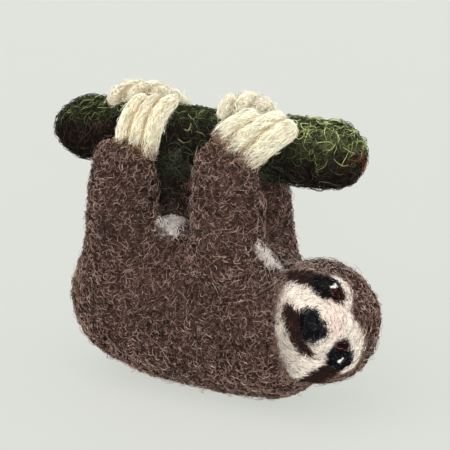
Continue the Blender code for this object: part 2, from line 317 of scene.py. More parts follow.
class ClawLine:
    """Middle line of a CAD claw: x and the angle about the branch grow evenly along it."""

    def __init__(self, node, closer):
        corners = np.unique(vertices(frame["nodes"][node].data).round(7), axis=0)
        across = corners[:, 1] - BRANCH_MIDDLE.y
        height = corners[:, 2] - BRANCH_MIDDLE.z
        reach = np.hypot(across, height)
        angle = np.arctan2(-across, height)
        unrolled = np.stack((corners[:, 0], angle * reach.mean()), axis=1)
        unrolled -= unrolled.mean(axis=0)
        share = unrolled @ np.linalg.svd(unrolled, full_matrices=False)[2][0]
        if abs(angle[share.argmin()]) < abs(angle[share.argmax()]):
            share = -share
        share = (share - share.min()) / np.ptp(share)
        self.x = np.polyfit(share, corners[:, 0], 1)
        self.angle = np.polyfit(share, angle, 1)
        bow = np.stack((np.ones_like(share), np.sin(math.pi * share)), axis=1)
        self.reach = np.linalg.lstsq(bow, reach, rcond=None)[0]
        body = (share > 0.15) & (share < 0.9)
        self.radius = np.linalg.norm(corners - self.at(share), axis=1)[body].mean()
        self.reach[0] -= closer
        self.spine = self.at(np.linspace(0, 1, SPINE_POINTS))

    def at(self, share):
        """Points of the line, from 0 at the paw to 1 at the tip."""
        share = np.asarray(share, float)
        angle = np.polyval(self.angle, share)
        reach = self.reach[0] + self.reach[1] * np.sin(math.pi * share.clip(0, 1))
        return np.stack((
            np.polyval(self.x, share),
            BRANCH_MIDDLE.y - reach * np.sin(angle),
            BRANCH_MIDDLE.z + reach * np.cos(angle),
        ), axis=-1)


# ---------------------------------------------------------------- meshes

def vertex_rows(mesh, field):
    """One field of a mesh's vertices, a row for each."""
    rows = np.empty(len(mesh.vertices) * 3, np.float32)
    mesh.vertices.foreach_get(field, rows)
    return rows.reshape(-1, 3).astype(float)


def vertices(mesh):
    """Places of a mesh's vertices."""
    return vertex_rows(mesh, "co")


def vertex_normals(mesh):
    """Normals at a mesh's vertices."""
    return vertex_rows(mesh, "normal")


def move_vertices(mesh, places):
    """Put a mesh's vertices at new places."""
    mesh.vertices.foreach_set("co", places.astype(np.float32).ravel())
    mesh.update()


def emboss(obj, relief, lowest=-math.inf):
    """Raise a surface by a relief in millimetres, no lower than a level; gives its new places."""
    places = vertices(obj.data) + vertex_normals(obj.data) * (relief * MM)[:, None]
    places[:, 2] = np.maximum(places[:, 2], lowest)
    move_vertices(obj.data, places)
    return places


def select_only(obj):
    """Make one object the only selected one."""
    bpy.ops.object.select_all(action="DESELECT")
    obj.hide_set(False)
    obj.select_set(True)
    bpy.context.view_layer.objects.active = obj


def linked(name, data):
    """New object in the scene."""
    obj = bpy.data.objects.new(name, data)
    bpy.context.scene.collection.objects.link(obj)
    return obj


def added(name, primitive, **values):
    """New primitive, the only thing selected."""
    bpy.ops.object.select_all(action="DESELECT")
    primitive(**values)
    bpy.context.object.name = name
    return bpy.context.object


def join(objects):
    """Join objects into the first of them."""
    select_only(objects[0])
    for obj in objects:
        obj.select_set(True)
    if len(objects) > 1:
        bpy.ops.object.join()
    return objects[0]


def edit_all(obj, operator, **values):
    """Run one edit mode operator on a whole mesh."""
    select_only(obj)
    bpy.ops.object.mode_set(mode="EDIT")
    bpy.ops.mesh.select_all(action="SELECT")
    operator(**values)
    bpy.ops.object.mode_set(mode="OBJECT")


def apply_modifier(obj, kind, **values):
    """Add a modifier, set its values and apply it."""
    select_only(obj)
    modifier = obj.modifiers.new(kind.lower(), kind)
    for name, value in values.items():
        setattr(modifier, name, value)
    bpy.ops.object.modifier_apply(modifier=modifier.name)


def swell(obj, distance):
    """Move the surface outwards along its normals."""
    apply_modifier(obj, "DISPLACE", strength=distance, mid_level=0.0, direction="NORMAL")


def one_form(obj, voxel, passes):
    """Rebuild an object as one even closed form, and smooth it."""
    apply_modifier(obj, "REMESH", mode="VOXEL", voxel_size=voxel)
    apply_modifier(obj, "SMOOTH", factor=0.5, iterations=passes)


def merged_copy(name, nodes):
    """Joined copy of CAD nodes, with their loose triangles merged."""
    copy = join([linked(name, frame["nodes"][node].data.copy()) for node in nodes])
    edit_all(copy, bpy.ops.mesh.remove_doubles, threshold=0.002 * MM)
    copy.data.materials.clear()
    return copy


def unwrap(obj):
    """Unwrap a piece's own shape for the bake."""
    for layer in list(obj.data.uv_layers):
        obj.data.uv_layers.remove(layer)
    obj.data.uv_layers.new(name=BAKE_MAP)
    edit_all(obj, bpy.ops.uv.smart_project, angle_limit=math.radians(70), island_margin=0.002)


def lumps(places, size, seed):
    """Smooth noise from -1 to 1 at each place, with lumps of the given size."""
    shift = Vector((seed * 7.3, seed * 3.1, seed * 5.7))
    return np.array([noise.noise(Vector(place) / size + shift) for place in places.tolist()])


def paint(mesh, colours):
    """Store a linear colour at each vertex."""
    attribute = mesh.attributes.get(WOOL) or mesh.attributes.new(WOOL, "FLOAT_COLOR", "POINT")
    values = np.ones((len(mesh.vertices), 4), np.float32)
    values[:, :3] = colours
    attribute.data.foreach_set("color", values.ravel())


def finish(obj, wool, slot, *nodes):
    """Give a piece its wool and smooth shading, fix it to the root body and hide the nodes it replaces.
    """
    obj.data.materials.clear()
    obj.data.materials.append(bpy.data.materials.get(wool) or wool_material(wool, *WOOLS[wool]))
    obj.data.polygons.foreach_set("use_smooth", np.ones(len(obj.data.polygons), bool))
    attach(obj, "root")
    if nodes:
        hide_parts(*nodes)


# ---------------------------------------------------------------- materials

class Nodes:
    """Short way to build a material's node tree."""

    def __init__(self, name):
        self.material = bpy.data.materials.new(name)
        self.material.use_nodes = True
        self.tree = self.material.node_tree

    def add(self, kind, output, values, **choices):
        """New node: its inputs are fed from sockets or set to values. Gives one of its outputs."""
        node = self.tree.nodes.new(kind)
        for name, value in choices.items():
            setattr(node, name, value)
        self.feed(node, values)
        return node.outputs[output]

    def feed(self, node, values):
        """Link a node's inputs to sockets, or set their values."""
        for name, value in values.items():
            if isinstance(value, bpy.types.NodeSocket):
                self.tree.links.new(value, node.inputs[name])
            else:
                node.inputs[name].default_value = value

    def shade(self, values):
        """Feed the material's own shader."""
        self.feed(self.tree.nodes["Principled BSDF"], values)
        return self.material


# Size of the grain, contrast, roughness, specular level and bump of each wool: dense matted wool
# under loose fibres, matt curly wool, smoother combed wool, and tight black felt.
WOOLS = {
    "matted_wool": (0.45 * MM, 0.35, 0.88, 0.03, 0.6),
    "curly_wool": (0.3 * MM, 0.25, 0.68, 0.12, 0.25),
    "combed_wool": (0.3 * MM, 0.14, 0.6, 0.2, 0.25),
    "black_felt": (0.25 * MM, 0.4, 0.6, 0.06, 0.25),
}


def wool_material(name, grain, contrast, roughness, specular, bump):
    """Wool coloured by the piece's own colours, with a fine grain."""
    nodes = Nodes(name)
    place = nodes.add("ShaderNodeTexCoord", "Object", {})
    colour = nodes.add("ShaderNodeAttribute", "Color", {}, attribute_name=WOOL)
    fine = nodes.add(
        "ShaderNodeTexNoise", "Fac",
        {"Vector": place, "Scale": 1 / grain, "Detail": 3.0, "Roughness": 0.6},
    )
    broad = nodes.add(
        "ShaderNodeTexNoise", "Fac", {"Vector": place, "Scale": 1 / (grain * 14), "Detail": 2.0}
    )
    both = nodes.add("ShaderNodeMath", "Value", {0: fine, 1: broad}, operation="ADD")
    shade = nodes.add("ShaderNodeMapRange", "Result", {
        "Value": both, "From Min": 0.6, "From Max": 1.4, "To Min": 1 - contrast, "To Max": 1 + contrast,
    })
    rough = nodes.add("ShaderNodeMapRange", "Result", {
        "Value": fine, "From Min": 0.3, "From Max": 0.7,
        "To Min": roughness - 0.08, "To Max": roughness + 0.08,
    })
    return nodes.shade({
        "Base Color": nodes.add(
            "ShaderNodeVectorMath", "Vector", {0: colour, "Scale": shade}, operation="SCALE"
        ),
        "Roughness": rough,
        "Normal": nodes.add(
            "ShaderNodeBump", "Normal", {"Strength": bump, "Distance": grain * 0.5, "Height": fine}
        ),
        "Specular IOR Level": specular,
    })


# ---------------------------------------------------------------- marks

def smooth_share(values, start, end):
    """0 before start, 1 after end, smooth between them."""
    share = ((values - start) / (end - start)).clip(0, 1)
    return share * share * (3 - 2 * share)


def mix(first, second, share):
    """Blend colours, or rows of them."""
    share = np.asarray(share)[..., None]
    return np.asarray(first) * (1 - share) + np.asarray(second) * share


def layered(colour, *layers):
    """Colour under layers of (colour, share)."""
    for over, share in layers:
        colour = mix(colour, over, share)
    return colour


def rounded(points, steps=5):
    """Closed smooth outline through a few points."""
    points = np.array(points, float)
    before, after, beyond = (np.roll(points, shift, axis=0) for shift in (1, -1, -2))
    out = []
    for step in range(steps):
        t = step / steps
        out.append(0.5 * (
            2 * points + (after - before) * t
            + (2 * before - 5 * points + 4 * after - beyond) * t * t
            + (3 * points - before - 3 * after + beyond) * t ** 3
        ))
    return np.stack(out, axis=1).reshape(-1, 2)


def oval(centre, half_sizes, turn, count=40):
    """Closed outline of an oval."""
    angles = np.linspace(0, 2 * math.pi, count, endpoint=False)
    along, across = np.cos(angles) * half_sizes[0], np.sin(angles) * half_sizes[1]
    return np.stack((
        centre[0] + along * math.cos(turn) - across * math.sin(turn),
        centre[1] + along * math.sin(turn) + across * math.cos(turn),
    ), axis=1)


def from_edge(spots, outline):
    """Distance of flat spots from a closed outline, negative inside it."""
    start = outline
    end = np.roll(outline, -1, axis=0)
    nearest = np.full(len(spots), np.inf)
    crossings = np.zeros(len(spots), int)
    for (ax, ay), (bx, by) in zip(start, end):
        run = np.array((bx - ax, by - ay))
        share = (((spots - (ax, ay)) @ run) / (run @ run)).clip(0, 1)
        gap = np.hypot(spots[:, 0] - ax - share * run[0], spots[:, 1] - ay - share * run[1])
        nearest = np.minimum(nearest, gap)
        straddles = (spots[:, 1] < ay) != (spots[:, 1] < by)
        if by != ay:
            meets = ax + (spots[:, 1] - ay) / (by - ay) * (bx - ax)
            crossings += straddles & (spots[:, 0] < meets)
    return np.where(crossings % 2 == 1, -nearest, nearest)


def from_stroke(spots, line):
    """Distance of spots from a stroke, negative inside; line holds (..., half width) rows."""
    line = np.array(line, float)
    best = np.full(len(spots), np.inf)
    for first, second in zip(line, line[1:]):
        run = (second - first)[:-1]
        share = (((spots - first[:-1]) @ run) / (run @ run)).clip(0, 1)
        nearest = first[:-1] + share[:, None] * run
        half = first[-1] + share * (second[-1] - first[-1])
        best = np.minimum(best, np.linalg.norm(spots - nearest, axis=1) - half)
    return best


def from_oval(spots, centre, half_sizes, turn=0.0):
    """Distance of flat spots from an oval, roughly, negative inside."""
    offset = spots - np.array(centre)
    along = offset[:, 0] * math.cos(turn) + offset[:, 1] * math.sin(turn)
    across = offset[:, 1] * math.cos(turn) - offset[:, 0] * math.sin(turn)
    return (np.hypot(along / half_sizes[0], across / half_sizes[1]) - 1) * min(half_sizes)


def from_ovals(spots, ovals):
    """Distance of flat spots from the nearest of several ovals."""
    return np.minimum.reduce([from_oval(spots, *place) for place in ovals])


# Face marks, (towards the crown, towards the right cheek) in millimetres; a stroke's last
# number is its half width, and an oval is its middle, half sizes and turn.
MASK = (
    (-8.2, 13.4), (-11.4, 9.6), (-13.6, 3.4), (-14.2, -2.3), (-13.6, -8.4), (-11.6, -14.4),
    (-7.8, -15.2), (-1.0, -14.2), (4.4, -14.9), (7.6, -12.8), (9.6, -9.0), (10.2, -5.0),
    (9.0, -0.8), (7.4, 1.8), (8.1, 4.2), (9.0, 6.8), (8.0, 10.4), (5.2, 13.0), (0.8, 12.9),
    (-4.0, 12.6),
)
MOUTH = (
    (-9.8, 5.6, 1.5), (-9.3, 3.6, 2.4), (-8.7, 1.2, 2.8), (-8.2, -1.2, 2.8), (-7.8, -3.6, 2.4),
    (-6.9, -6.0, 1.8), (-5.6, -7.8, 0.9),
)
RIGHT_STRIPE = (
    (-10.6, 13.6, 0.6), (-8.2, 14.6, 1.3), (-4.8, 14.2, 1.9), (-1.6, 13.2, 2.2), (1.8, 11.0, 2.2),
)
LEFT_STRIPE = ((-8.4, -17.0, 1.6), (-4.4, -15.4, 2.9), (-0.4, -13.4, 2.4), (2.0, -10.8, 2.6))
EYE_CORNERS = (((4.7, 7.5), (1.9, 2.5), 0.7), ((3.9, -6.4), (2.2, 1.6), 0.0))
NOSE = (
    (-5.9, 4.46), (-4.52, 5.0), (-2.98, 4.5), (-2.19, 3.25), (-1.83, 1.72), (-0.84, 0.14),
    (-0.2, -1.44), (-1.02, -2.79), (-2.4, -3.37), (-3.97, -3.41), (-5.16, -2.52), (-5.95, -1.25),
    (-6.73, 0.18), (-6.91, 2.03), (-6.54, 3.43),
)
NOSE_CENTRE = (-3.5, 0.5)
RIGHT_EYE = ((1.9, 10.0), (3.9, 2.5), -0.62)
LEFT_EYE = ((2.4, -9.5), (3.0, 3.3), 0.3)
EYE_GLINTS = {
    "eye_right": (((4.2, 10.4), (0.65, 0.5), 0.6), ((3.2, 10.3), (0.4, 0.16), 0.2)),
    "eye_left": (((2.3, -10.7), (0.5, 0.45), 0.4), ((3.2, -10.2), (0.35, 0.16), 1.0)),
}
PHILTRUM = ((-5.0, -4.7), (1.6, 1.0), -0.7)
BLUSH_PLACE = ((2.6, 1.6), (3.6, 5.5), 0.0)
PADS = {"nose": rounded(NOSE), "eye_right": oval(*RIGHT_EYE), "eye_left": oval(*LEFT_EYE)}

# Pale wool on the belly and chest, (x, y, z) from the middle of the trunk, with its half width.
BELLY = ((-8.0, -9.8, 26.4, 2.5), (-6.8, -6.2, 23.8, 3.2), (-8.4, 1.6, 24.2, 3.3))
CHEST = (
    (26.4, -15.2, 26.0, 1.3), (27.2, -11.8, 22.8, 2.0), (28.0, -6.8, 19.0, 1.7),
    (30.4, -6.2, 17.4, 1.0), (31.4, -6.6, 17.0, 0.5),
)

CLAW_LINES = {
    node: ClawLine(node, CLAW_LOOKS[paw]["in"] * MM)
    for paw, nodes in CLAW_NODES.items()
    for node in nodes
}
# No place below this is near a claw, and what isn't near one is taken as this far off.
CLAW_LEVEL = min(line.spine[:, 2].min() for line in CLAW_LINES.values()) - 8 * MM
FAR = 1.0
CLAW_ROOTS = np.array([line.at(0.1) for line in CLAW_LINES.values()])


def from_claws(places):
    """Distance of places from the nearest claw's surface, negative inside it."""
    gaps = np.full(len(places), FAR)
    high = np.nonzero(places[:, 2] > CLAW_LEVEL)[0]
    for line in CLAW_LINES.values():
        for spot in line.spine:
            gap = np.linalg.norm(places[high] - spot, axis=1) - line.radius
            gaps[high] = np.minimum(gaps[high], gap)
    return gaps


def from_branch(places):
    """Distance of places from the middle line of the branch."""
    offset = places - np.array(BRANCH_MIDDLE)
    half = np.ptp([corner.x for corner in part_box("branch")]) / 2 - BRANCH_RADIUS
    beyond = np.maximum(np.abs(offset[:, 0]) - half, 0)
    return np.sqrt(beyond ** 2 + offset[:, 1] ** 2 + offset[:, 2] ** 2)


def face_marks(places, normals):
    """Shares of the face's marks at each place of the head."""
    face = on_face(places)
    flat = face[:, :2]
    near = (np.linalg.norm(face, axis=1) < FACE_REACH) & (face[:, 2] > FACE_DEPTH)
    fronts = near & ((normals @ FACE_TURN)[:, 2] > FACE_OUTWARD)
    mask = from_edge(flat, rounded(MASK)) + 0.6 * lumps(places, 1.5 * MM, 9)
    strokes = [from_stroke(flat, mark) for mark in (MOUTH, RIGHT_STRIPE, LEFT_STRIPE)]
    corner = from_ovals(flat, EYE_CORNERS)
    dark = np.minimum.reduce([*strokes, corner])
    black = np.minimum.reduce([from_edge(flat, outline) for outline in PADS.values()])
    corner = np.maximum(corner, -black - 0.8)
    pad = fronts * smooth_share(-black, -0.3, 0.2)
    return {
        "cream": fronts * smooth_share(-mask, -0.5, 0.5),
        "blush": fronts * smooth_share(-from_oval(flat, *BLUSH_PLACE), -1.5, 2.0) * 0.4,
        "dark": fronts * smooth_share(-dark, -0.3, 0.3),
        "rust": fronts * smooth_share(-np.abs(dark), -0.6, -0.1) * (mask < 0),
        "black": pad * (1 - smooth_share(-corner, -0.4, 0.4)),
        "pad": pad,
        "philtrum": fronts * smooth_share(-from_oval(flat, *PHILTRUM), -0.3, 0.3),
    }


def from_patch(places, stroke):
    """Distance of places from a pale patch of the trunk in millimetres, negative inside it."""
    return from_stroke((places - np.array(middle("trunk"))) / MM, stroke)


def pale_share(places):
    """How pale the belly and chest are at each place, from 0 to 1."""
    edge = np.minimum(from_patch(places, BELLY), from_patch(places, CHEST))
    return smooth_share(lumps(places, 1.6 * MM, 17) * 0.9 - edge, -0.5, 0.6)


def wool_colours(places, normals):
    """Marking colour of the skin and coat at each place, the marked share and the face's marks."""
    body, face, claw, branch = map(settings, ("body", "face", "claws", "branch"))
    marks = face_marks(places, normals)
    spots = on_face(places)
    crown = smooth_share(spots[:, 1], 9.0, 17.0) * (np.linalg.norm(spots, axis=1) < 24)
    # Painted shade, tinted with moss: high up under the branch, near the middle plane between the near
    # and far legs, the wool is dark grey-green.
    inner = 1 - smooth_share(np.abs(places[:, 1] - BRANCH_MIDDLE.y), 6 * MM, 11 * MM)
    inner *= 1 - smooth_share(places[:, 0] - BRANCH_MIDDLE.x, 9 * MM, 14 * MM)
    under = inner * smooth_share(places[:, 2], 50 * MM, 56 * MM)
    mossy = 1 - smooth_share(from_branch(places), *MOSS_TINT)
    from_roots = np.linalg.norm(places[:, None] - CLAW_ROOTS[None], axis=2).min(axis=1)
    fray = 1 - smooth_share(from_roots, 1.5 * MM, 5.0 * MM)
    pale = pale_share(places)
    chest = smooth_share(-from_patch(places, CHEST), -2.0, 1.0)
    # The mask darkens towards the chin: partly beige wool, partly painted shade.
    chin = 1 - smooth_share(spots[:, 0], -14.0, -7.0)
    cream = mix(face.cream, np.array(face.cream) * (0.46, 0.44, 0.42), chin * 0.75)
    colours = layered(
        body.mid,
        (body.light, crown * 0.25),
        # Dark grey-green: painted shade under the branch (under), and a little moss on the wool near the
        # branch (mossy).
        (np.array(branch.deep) * 1.2, np.maximum(under, mossy * 0.25)),
        (np.array(claw.warm) * 0.75, fray * 0.5),
        (np.array(face.patch) * (1 - 0.15 * chest)[:, None], pale),
        (cream, marks["cream"]),
        (face.blush, marks["blush"] * marks["cream"]),
        (face.rust, marks["rust"] * 0.4),
        (face.shade, marks["dark"]),
        (np.array(face.cream) * 0.5, marks["philtrum"]),
        (face.black, marks["black"]),
    )
    marked = np.maximum.reduce([pale, marks["cream"], marks["dark"], marks["black"]])
    return colours, marked, marks


# ---------------------------------------------------------------- strands

def unit(rows):
    """Rows of vectors at length one."""
    return rows / np.maximum(np.linalg.norm(rows, axis=-1, keepdims=True), 1e-12)


def flat_on(ways, normals):
    """Directions laid flat on a surface."""
    return unit(ways - (ways * normals).sum(axis=-1, keepdims=True) * normals)


def turned(ways, normals, angles):
    """Directions turned about normals."""
    angles = np.asarray(angles)[..., None]
    return ways * np.cos(angles) + np.cross(normals, ways) * np.sin(angles)


class Surface:
    """A piece's surface, for strands to be rooted on and laid along."""

    def __init__(self, obj):
        mesh = obj.data
        mesh.calc_loop_triangles()
        rows = np.empty((2, len(mesh.loop_triangles) * 3), np.int32)
        mesh.loop_triangles.foreach_get("vertices", rows[0])
        mesh.loop_triangles.foreach_get("loops", rows[1])
        self.corners = rows[0].reshape(-1, 3)
        places = vertices(mesh)
        self.normals = vertex_normals(mesh)
        self.triangles = places[self.corners]
        sides = self.triangles[:, 1:] - self.triangles[:, :1]
        self.areas = np.linalg.norm(np.cross(sides[:, 0], sides[:, 1]), axis=1) / 2
        maps = np.empty(len(mesh.loops) * 2, np.float32)
        mesh.uv_layers[BAKE_MAP].uv.foreach_get("vector", maps)
        self.maps = maps.reshape(-1, 2)[rows[1]].reshape(-1, 3, 2)
        self.tree = BVHTree.FromPolygons(places.tolist(), self.corners.tolist())

    def weighted(self, weight):
        """Area of each triangle, counted by a weight at its middle."""
        if weight is None:
            return self.areas
        return self.areas * weight(self.triangles.mean(axis=1), self.normals[self.corners].mean(axis=1))

    def scatter(self, draws, count, areas):
        """Random places on the surface: places, normals and bake places."""
        chosen = draws.choice(len(areas), size=count, p=areas / areas.sum())
        first, second = np.sqrt(draws.random(count)), draws.random(count)
        pull = np.stack((1 - first, first * (1 - second), first * second), axis=1)[:, :, None]
        places = (self.triangles[chosen] * pull).sum(axis=1)
        normals = unit((self.normals[self.corners[chosen]] * pull).sum(axis=1))
        return places, normals, (self.maps[chosen] * pull).sum(axis=1)

    def nearest(self, spots):
        """Nearest places on the surface, and its normals there."""
        found = [self.tree.find_nearest(spot)[:2] for spot in spots.tolist()]
        places = np.array([place[:] for place, _ in found])
        return places, np.array([normal[:] for _, normal in found])

    def lay(self, starts, normals, ways, stride, turns):
        """Lines that run along the surface, turning at each step: points and normals."""
        count, steps = turns.shape
        line = np.empty((count, steps + 1, 3))
        up = np.empty((count, steps + 1, 3))
        line[:, 0], up[:, 0] = starts, normals
        ways = flat_on(ways, normals)
        for step in range(steps):
            ways = turned(ways, up[:, step], turns[:, step])
            line[:, step + 1], up[:, step + 1] = self.nearest(line[:, step] + ways * stride[:, None])
            ways = flat_on(ways, up[:, step + 1])
        return line, up


STRAND_SIDES = 3
# How thin a strand's ends are, how flat its middle lies, and how far its sizes vary.
STRAND_TAPER = 0.45
STRAND_BOW = 0.6
STRAND_SIZES = (0.6, 1.25)


def strand_corner(station, side, stations):
    """Number of a strand's corner: each end is one corner, the stations between are rings."""
    if station == 0:
        return 0
    ring = 1 + (station - 1) * STRAND_SIDES
    return ring if station == stations - 1 else ring + side % STRAND_SIDES


def strand_layout(stations):
    """Corner order, face sizes and bake corners of one strand with pointed ends."""
    order, sizes, maps = [], [], []
    for side in range(STRAND_SIDES):
        for near in range(stations - 1):
            face = [(near, side), (near + 1, side), (near + 1, side + 1), (near, side + 1)]
            if near == 0:
                face.pop()
            if near == stations - 2:
                face.pop(2)
            order += [strand_corner(station, edge, stations) for station, edge in face]
            maps += [(edge / STRAND_SIDES, station / (stations - 1)) for station, edge in face]
            sizes.append(len(face))
    return np.array(order), np.array(sizes), np.array(maps)


def strand_mesh(name, lines, up, radii, colours, bake_places):
    """One mesh of closed strands along lines, thick in the middle and pointed at both ends."""
    count, stations, _ = lines.shape
    rings = stations - 2
    along = unit(np.gradient(lines, axis=1))
    side = unit(np.cross(along, up))
    lift = np.cross(side, along)
    profile = np.sin(np.linspace(0, math.pi, stations)) ** STRAND_TAPER
    thick = (radii[:, None] * profile)[:, 1:-1, None]
    corners = []
    for number in range(STRAND_SIDES):
        angle = math.pi * (0.5 + 2 * number / STRAND_SIDES)
        reach = math.cos(angle) * side[:, 1:-1] + math.sin(angle) * lift[:, 1:-1]
        corners.append(lines[:, 1:-1] + reach * thick)
    ring_corners = np.stack(corners, axis=2).reshape(count, rings * STRAND_SIDES, 3)
    places = np.concatenate((lines[:, :1], ring_corners, lines[:, -1:]), axis=1)
    each = places.shape[1]
    order, sizes, maps = strand_layout(stations)
    mesh = bpy.data.meshes.new(name)
    mesh.vertices.add(count * each)
    mesh.vertices.foreach_set("co", places.astype(np.float32).ravel())
    mesh.loops.add(count * len(order))
    shift = (np.arange(count) * each)[:, None]
    mesh.loops.foreach_set("vertex_index", (order + shift).astype(np.int32).ravel())
    starts = np.concatenate(([0], np.cumsum(sizes)[:-1]))
    mesh.polygons.add(count * len(sizes))
    loop_starts = starts + (np.arange(count) * len(order))[:, None]
    mesh.polygons.foreach_set("loop_start", loop_starts.astype(np.int32).ravel())
    mesh.update(calc_edges=True)
    mesh.uv_layers.new(name=BAKE_MAP)
    patches = bake_places[:, None, :] + (maps - 0.5) * BAKE_PATCH
    mesh.uv_layers[BAKE_MAP].uv.foreach_set("vector", patches.astype(np.float32).ravel())
    station = np.concatenate(([0], np.repeat(np.arange(1, rings + 1), STRAND_SIDES), [rings + 1]))
    # Painted shade and light: each strand is darker at its ends, where it dips into the coat, and
    # brighter over its raised middle.
    light = 0.72 + 0.36 * np.sin(np.linspace(0, math.pi, stations))[station]
    paint(mesh, (colours[:, None, :] * light[None, :, None]).reshape(-1, 3))
    return linked(name, mesh)


def curly(draws, count, steps, turn, wobble):
    """Turns at each step of curls: a steady bend that may swing over, with a wobble."""
    bend = draws.normal(0, turn, (count, 1))
    swing = draws.normal(0, turn, (count, 1)) * np.linspace(-1, 1, steps)
    return bend + swing + draws.normal(0, wobble, (count, steps))


class Strands:
    """Strands grown on a surface, ready to be coloured and made into a mesh."""

    ROWS = ("roots", "normals", "bake_places", "up", "heights", "lines", "radii", "colours")

    def __init__(
        self, surface, draws, density, length, width, stations, area=None, ways=None,
        jitter=math.pi, turn=0.3, wobble=0.2, lift=(0.1, 0.8), sink=0.25, ripple=0.08, lean=(1.6, 1.3),
    ):
        """ways gives a direction at each place; lift, sink and ripple are millimetres."""
        areas = surface.weighted(area)
        count = int(areas.sum() / MM ** 2 * density)
        self.roots, normals, self.bake_places = surface.scatter(draws, count, areas)
        self.normals = normals
        if ways is None:
            ahead = np.tile((0.3, 0.2, 1.0), (count, 1))
            spread = draws.uniform(-jitter, jitter, count)
        else:
            ahead = ways(self.roots)
            spread = draws.normal(0, jitter, count)
        ahead = turned(flat_on(ahead, normals), normals, spread)
        ahead *= draws.choice((-1.0, 1.0), count)[:, None]
        stride = length * draws.uniform(*STRAND_SIZES, count) / (stations - 1)
        turns = curly(draws, count, stations - 1, turn, wobble)
        lines, self.up = surface.lay(self.roots, normals, ahead, stride, turns)
        self.heights = lift[0] + (lift[1] - lift[0]) * draws.beta(*lean, count)
        bow = np.sin(math.pi * np.linspace(0, 1, stations)) ** STRAND_BOW
        rise = self.heights[:, None] * bow - sink * (1 - bow)
        rise[:, 1:-1] += draws.normal(0, ripple, (count, stations - 2))
        self.lines = lines + self.up * (rise * MM)[:, :, None]
        self.radii = width / 2 * draws.uniform(*STRAND_SIZES, count)
        self.count = count
        self.colours = np.ones((count, 3))

    def loosen(self, draws, share):
        """Let the far ends of a share of the strands stand off the surface."""
        stations = self.lines.shape[1]
        free = draws.random(self.count) < share
        rise = np.linspace(0, 1, stations) ** 2 * (self.heights + 0.25)[:, None]
        lifted = self.lines + self.up * (rise * MM)[:, :, None]
        self.lines = np.where(free[:, None, None], lifted, self.lines)

    def rest_on_floor(self):
        """Press strands up where they would pass through the floor."""
        self.lines[:, :, 2] = np.maximum(self.lines[:, :, 2], (self.radii * 1.2)[:, None])

    def middles(self):
        """Places at the middle of each strand."""
        return self.lines[:, self.lines.shape[1] // 2]

    def keep(self, kept):
        """Keep only some of the strands."""
        for name in self.ROWS:
            setattr(self, name, getattr(self, name)[kept])
        self.count = len(self.roots)

    def clear_of_claws(self):
        """Drop strands that would come out through a claw."""
        spots = (self.lines[:, 1], self.middles(), self.lines[:, -2])
        self.keep(np.minimum.reduce([from_claws(spot) for spot in spots]) > -0.3 * MM)

    def build(self, name, wool, slot):
        """Make one or more pieces that each stay under the limit of triangles."""
        each = 2 * STRAND_SIDES * (self.lines.shape[1] - 2)
        pieces = math.ceil(self.count * each / MAX_TRIANGLES)
        for number in range(pieces):
            part = slice(number, None, pieces)
            label = name if pieces == 1 else f"{name}_{number + 1}"
            piece = strand_mesh(
                label, self.lines[part], self.up[part], self.radii[part],
                self.colours[part].clip(0.001, 0.95), self.bake_places[part],
            )
            finish(piece, wool, slot)


def joined(groups):
    """Several groups of strands as one."""
    first = groups[0]
    for name in Strands.ROWS:
        setattr(first, name, np.concatenate([getattr(group, name) for group in groups]))
    first.count = len(first.roots)
    return first


# ---------------------------------------------------------------- skin and coat

def make_skin():
    """One skin for trunk, legs, head and muzzle, lying under the coat."""
    body = settings("body")
    skin = merged_copy("sloth_skin", (*FLESH, "nose", "eye_left", "eye_right"))
    for line in CLAW_LINES.values():
        for spot in line.at(PLUG_STOPS):
            plug = added(
                "plug", bpy.ops.mesh.primitive_uv_sphere_add,
                segments=16, ring_count=10, radius=line.radius + PLUG_MARGIN, location=spot,
            )
            join([skin, plug])
    swell(skin, SEAL)
    one_form(skin, SKIN_VOXEL, SEAL_PASSES)
    swell(skin, -SEAL - body.coat_depth)
    one_form(skin, SKIN_VOXEL, SKIN_PASSES)
    places = vertices(skin.data)
    marks = face_marks(places, vertex_normals(skin.data))
    brown = 1 - np.maximum(marks["cream"], marks["dark"])
    relief = lumps(places, 7 * MM, 1) * 0.35 * brown + lumps(places, 2.4 * MM, 2) * 0.16
    mouth = from_stroke(flat_on_face(places), MOUTH)
    fronts = marks["cream"] + marks["dark"] > 0.3
    relief -= MOUTH_DEPTH * smooth_share(-mouth, -0.6, 0.8) * fronts
    relief += LIP_RISE * smooth_share(-np.abs(mouth - 1.6), -1.4, -0.2) * fronts
    relief -= PHILTRUM_DEPTH * marks["philtrum"]
    relief += BELLY_RISE * smooth_share(-from_patch(places, BELLY), -0.9, 0.9)
    relief += CHEST_RISE * smooth_share(-from_patch(places, CHEST), -0.6, 0.6)
    places = emboss(skin, relief, SKIN_LEVEL)
    colours, marked, _ = wool_colours(places, vertex_normals(skin.data))
    # Painted shade: under the brown coat the skin is mixed far towards the underwool colour, and under
    # the marks it is darkened by up to 30 percent, so that the gaps between the strands look shaded; the
    # pale patches are lifted a little.
    colours = mix(colours, body.dark, (1 - marked) * 0.85)
    paint(skin.data, colours * (1 - 0.3 * marked + 0.2 * pale_share(places))[:, None])
    unwrap(skin)
    finish(skin, "matted_wool", "brown_wool", *FLESH)


def coat_area(places, normals):
    """Where the body's coat grows: not in the face, on the branch's seats or in the claws."""
    marks = face_marks(places, normals)
    bare = np.maximum.reduce([marks["cream"], marks["dark"], marks["pad"]])
    open_wool = (from_branch(places) > COAT_START) & (from_claws(places) > -0.4 * MM)
    return (1 - bare) * open_wool


def face_area(places, normals):
    """Where the face's combed fibres grow."""
    marks = face_marks(places, normals)
    return np.maximum(marks["cream"], marks["dark"]) * (1 - marks["pad"])


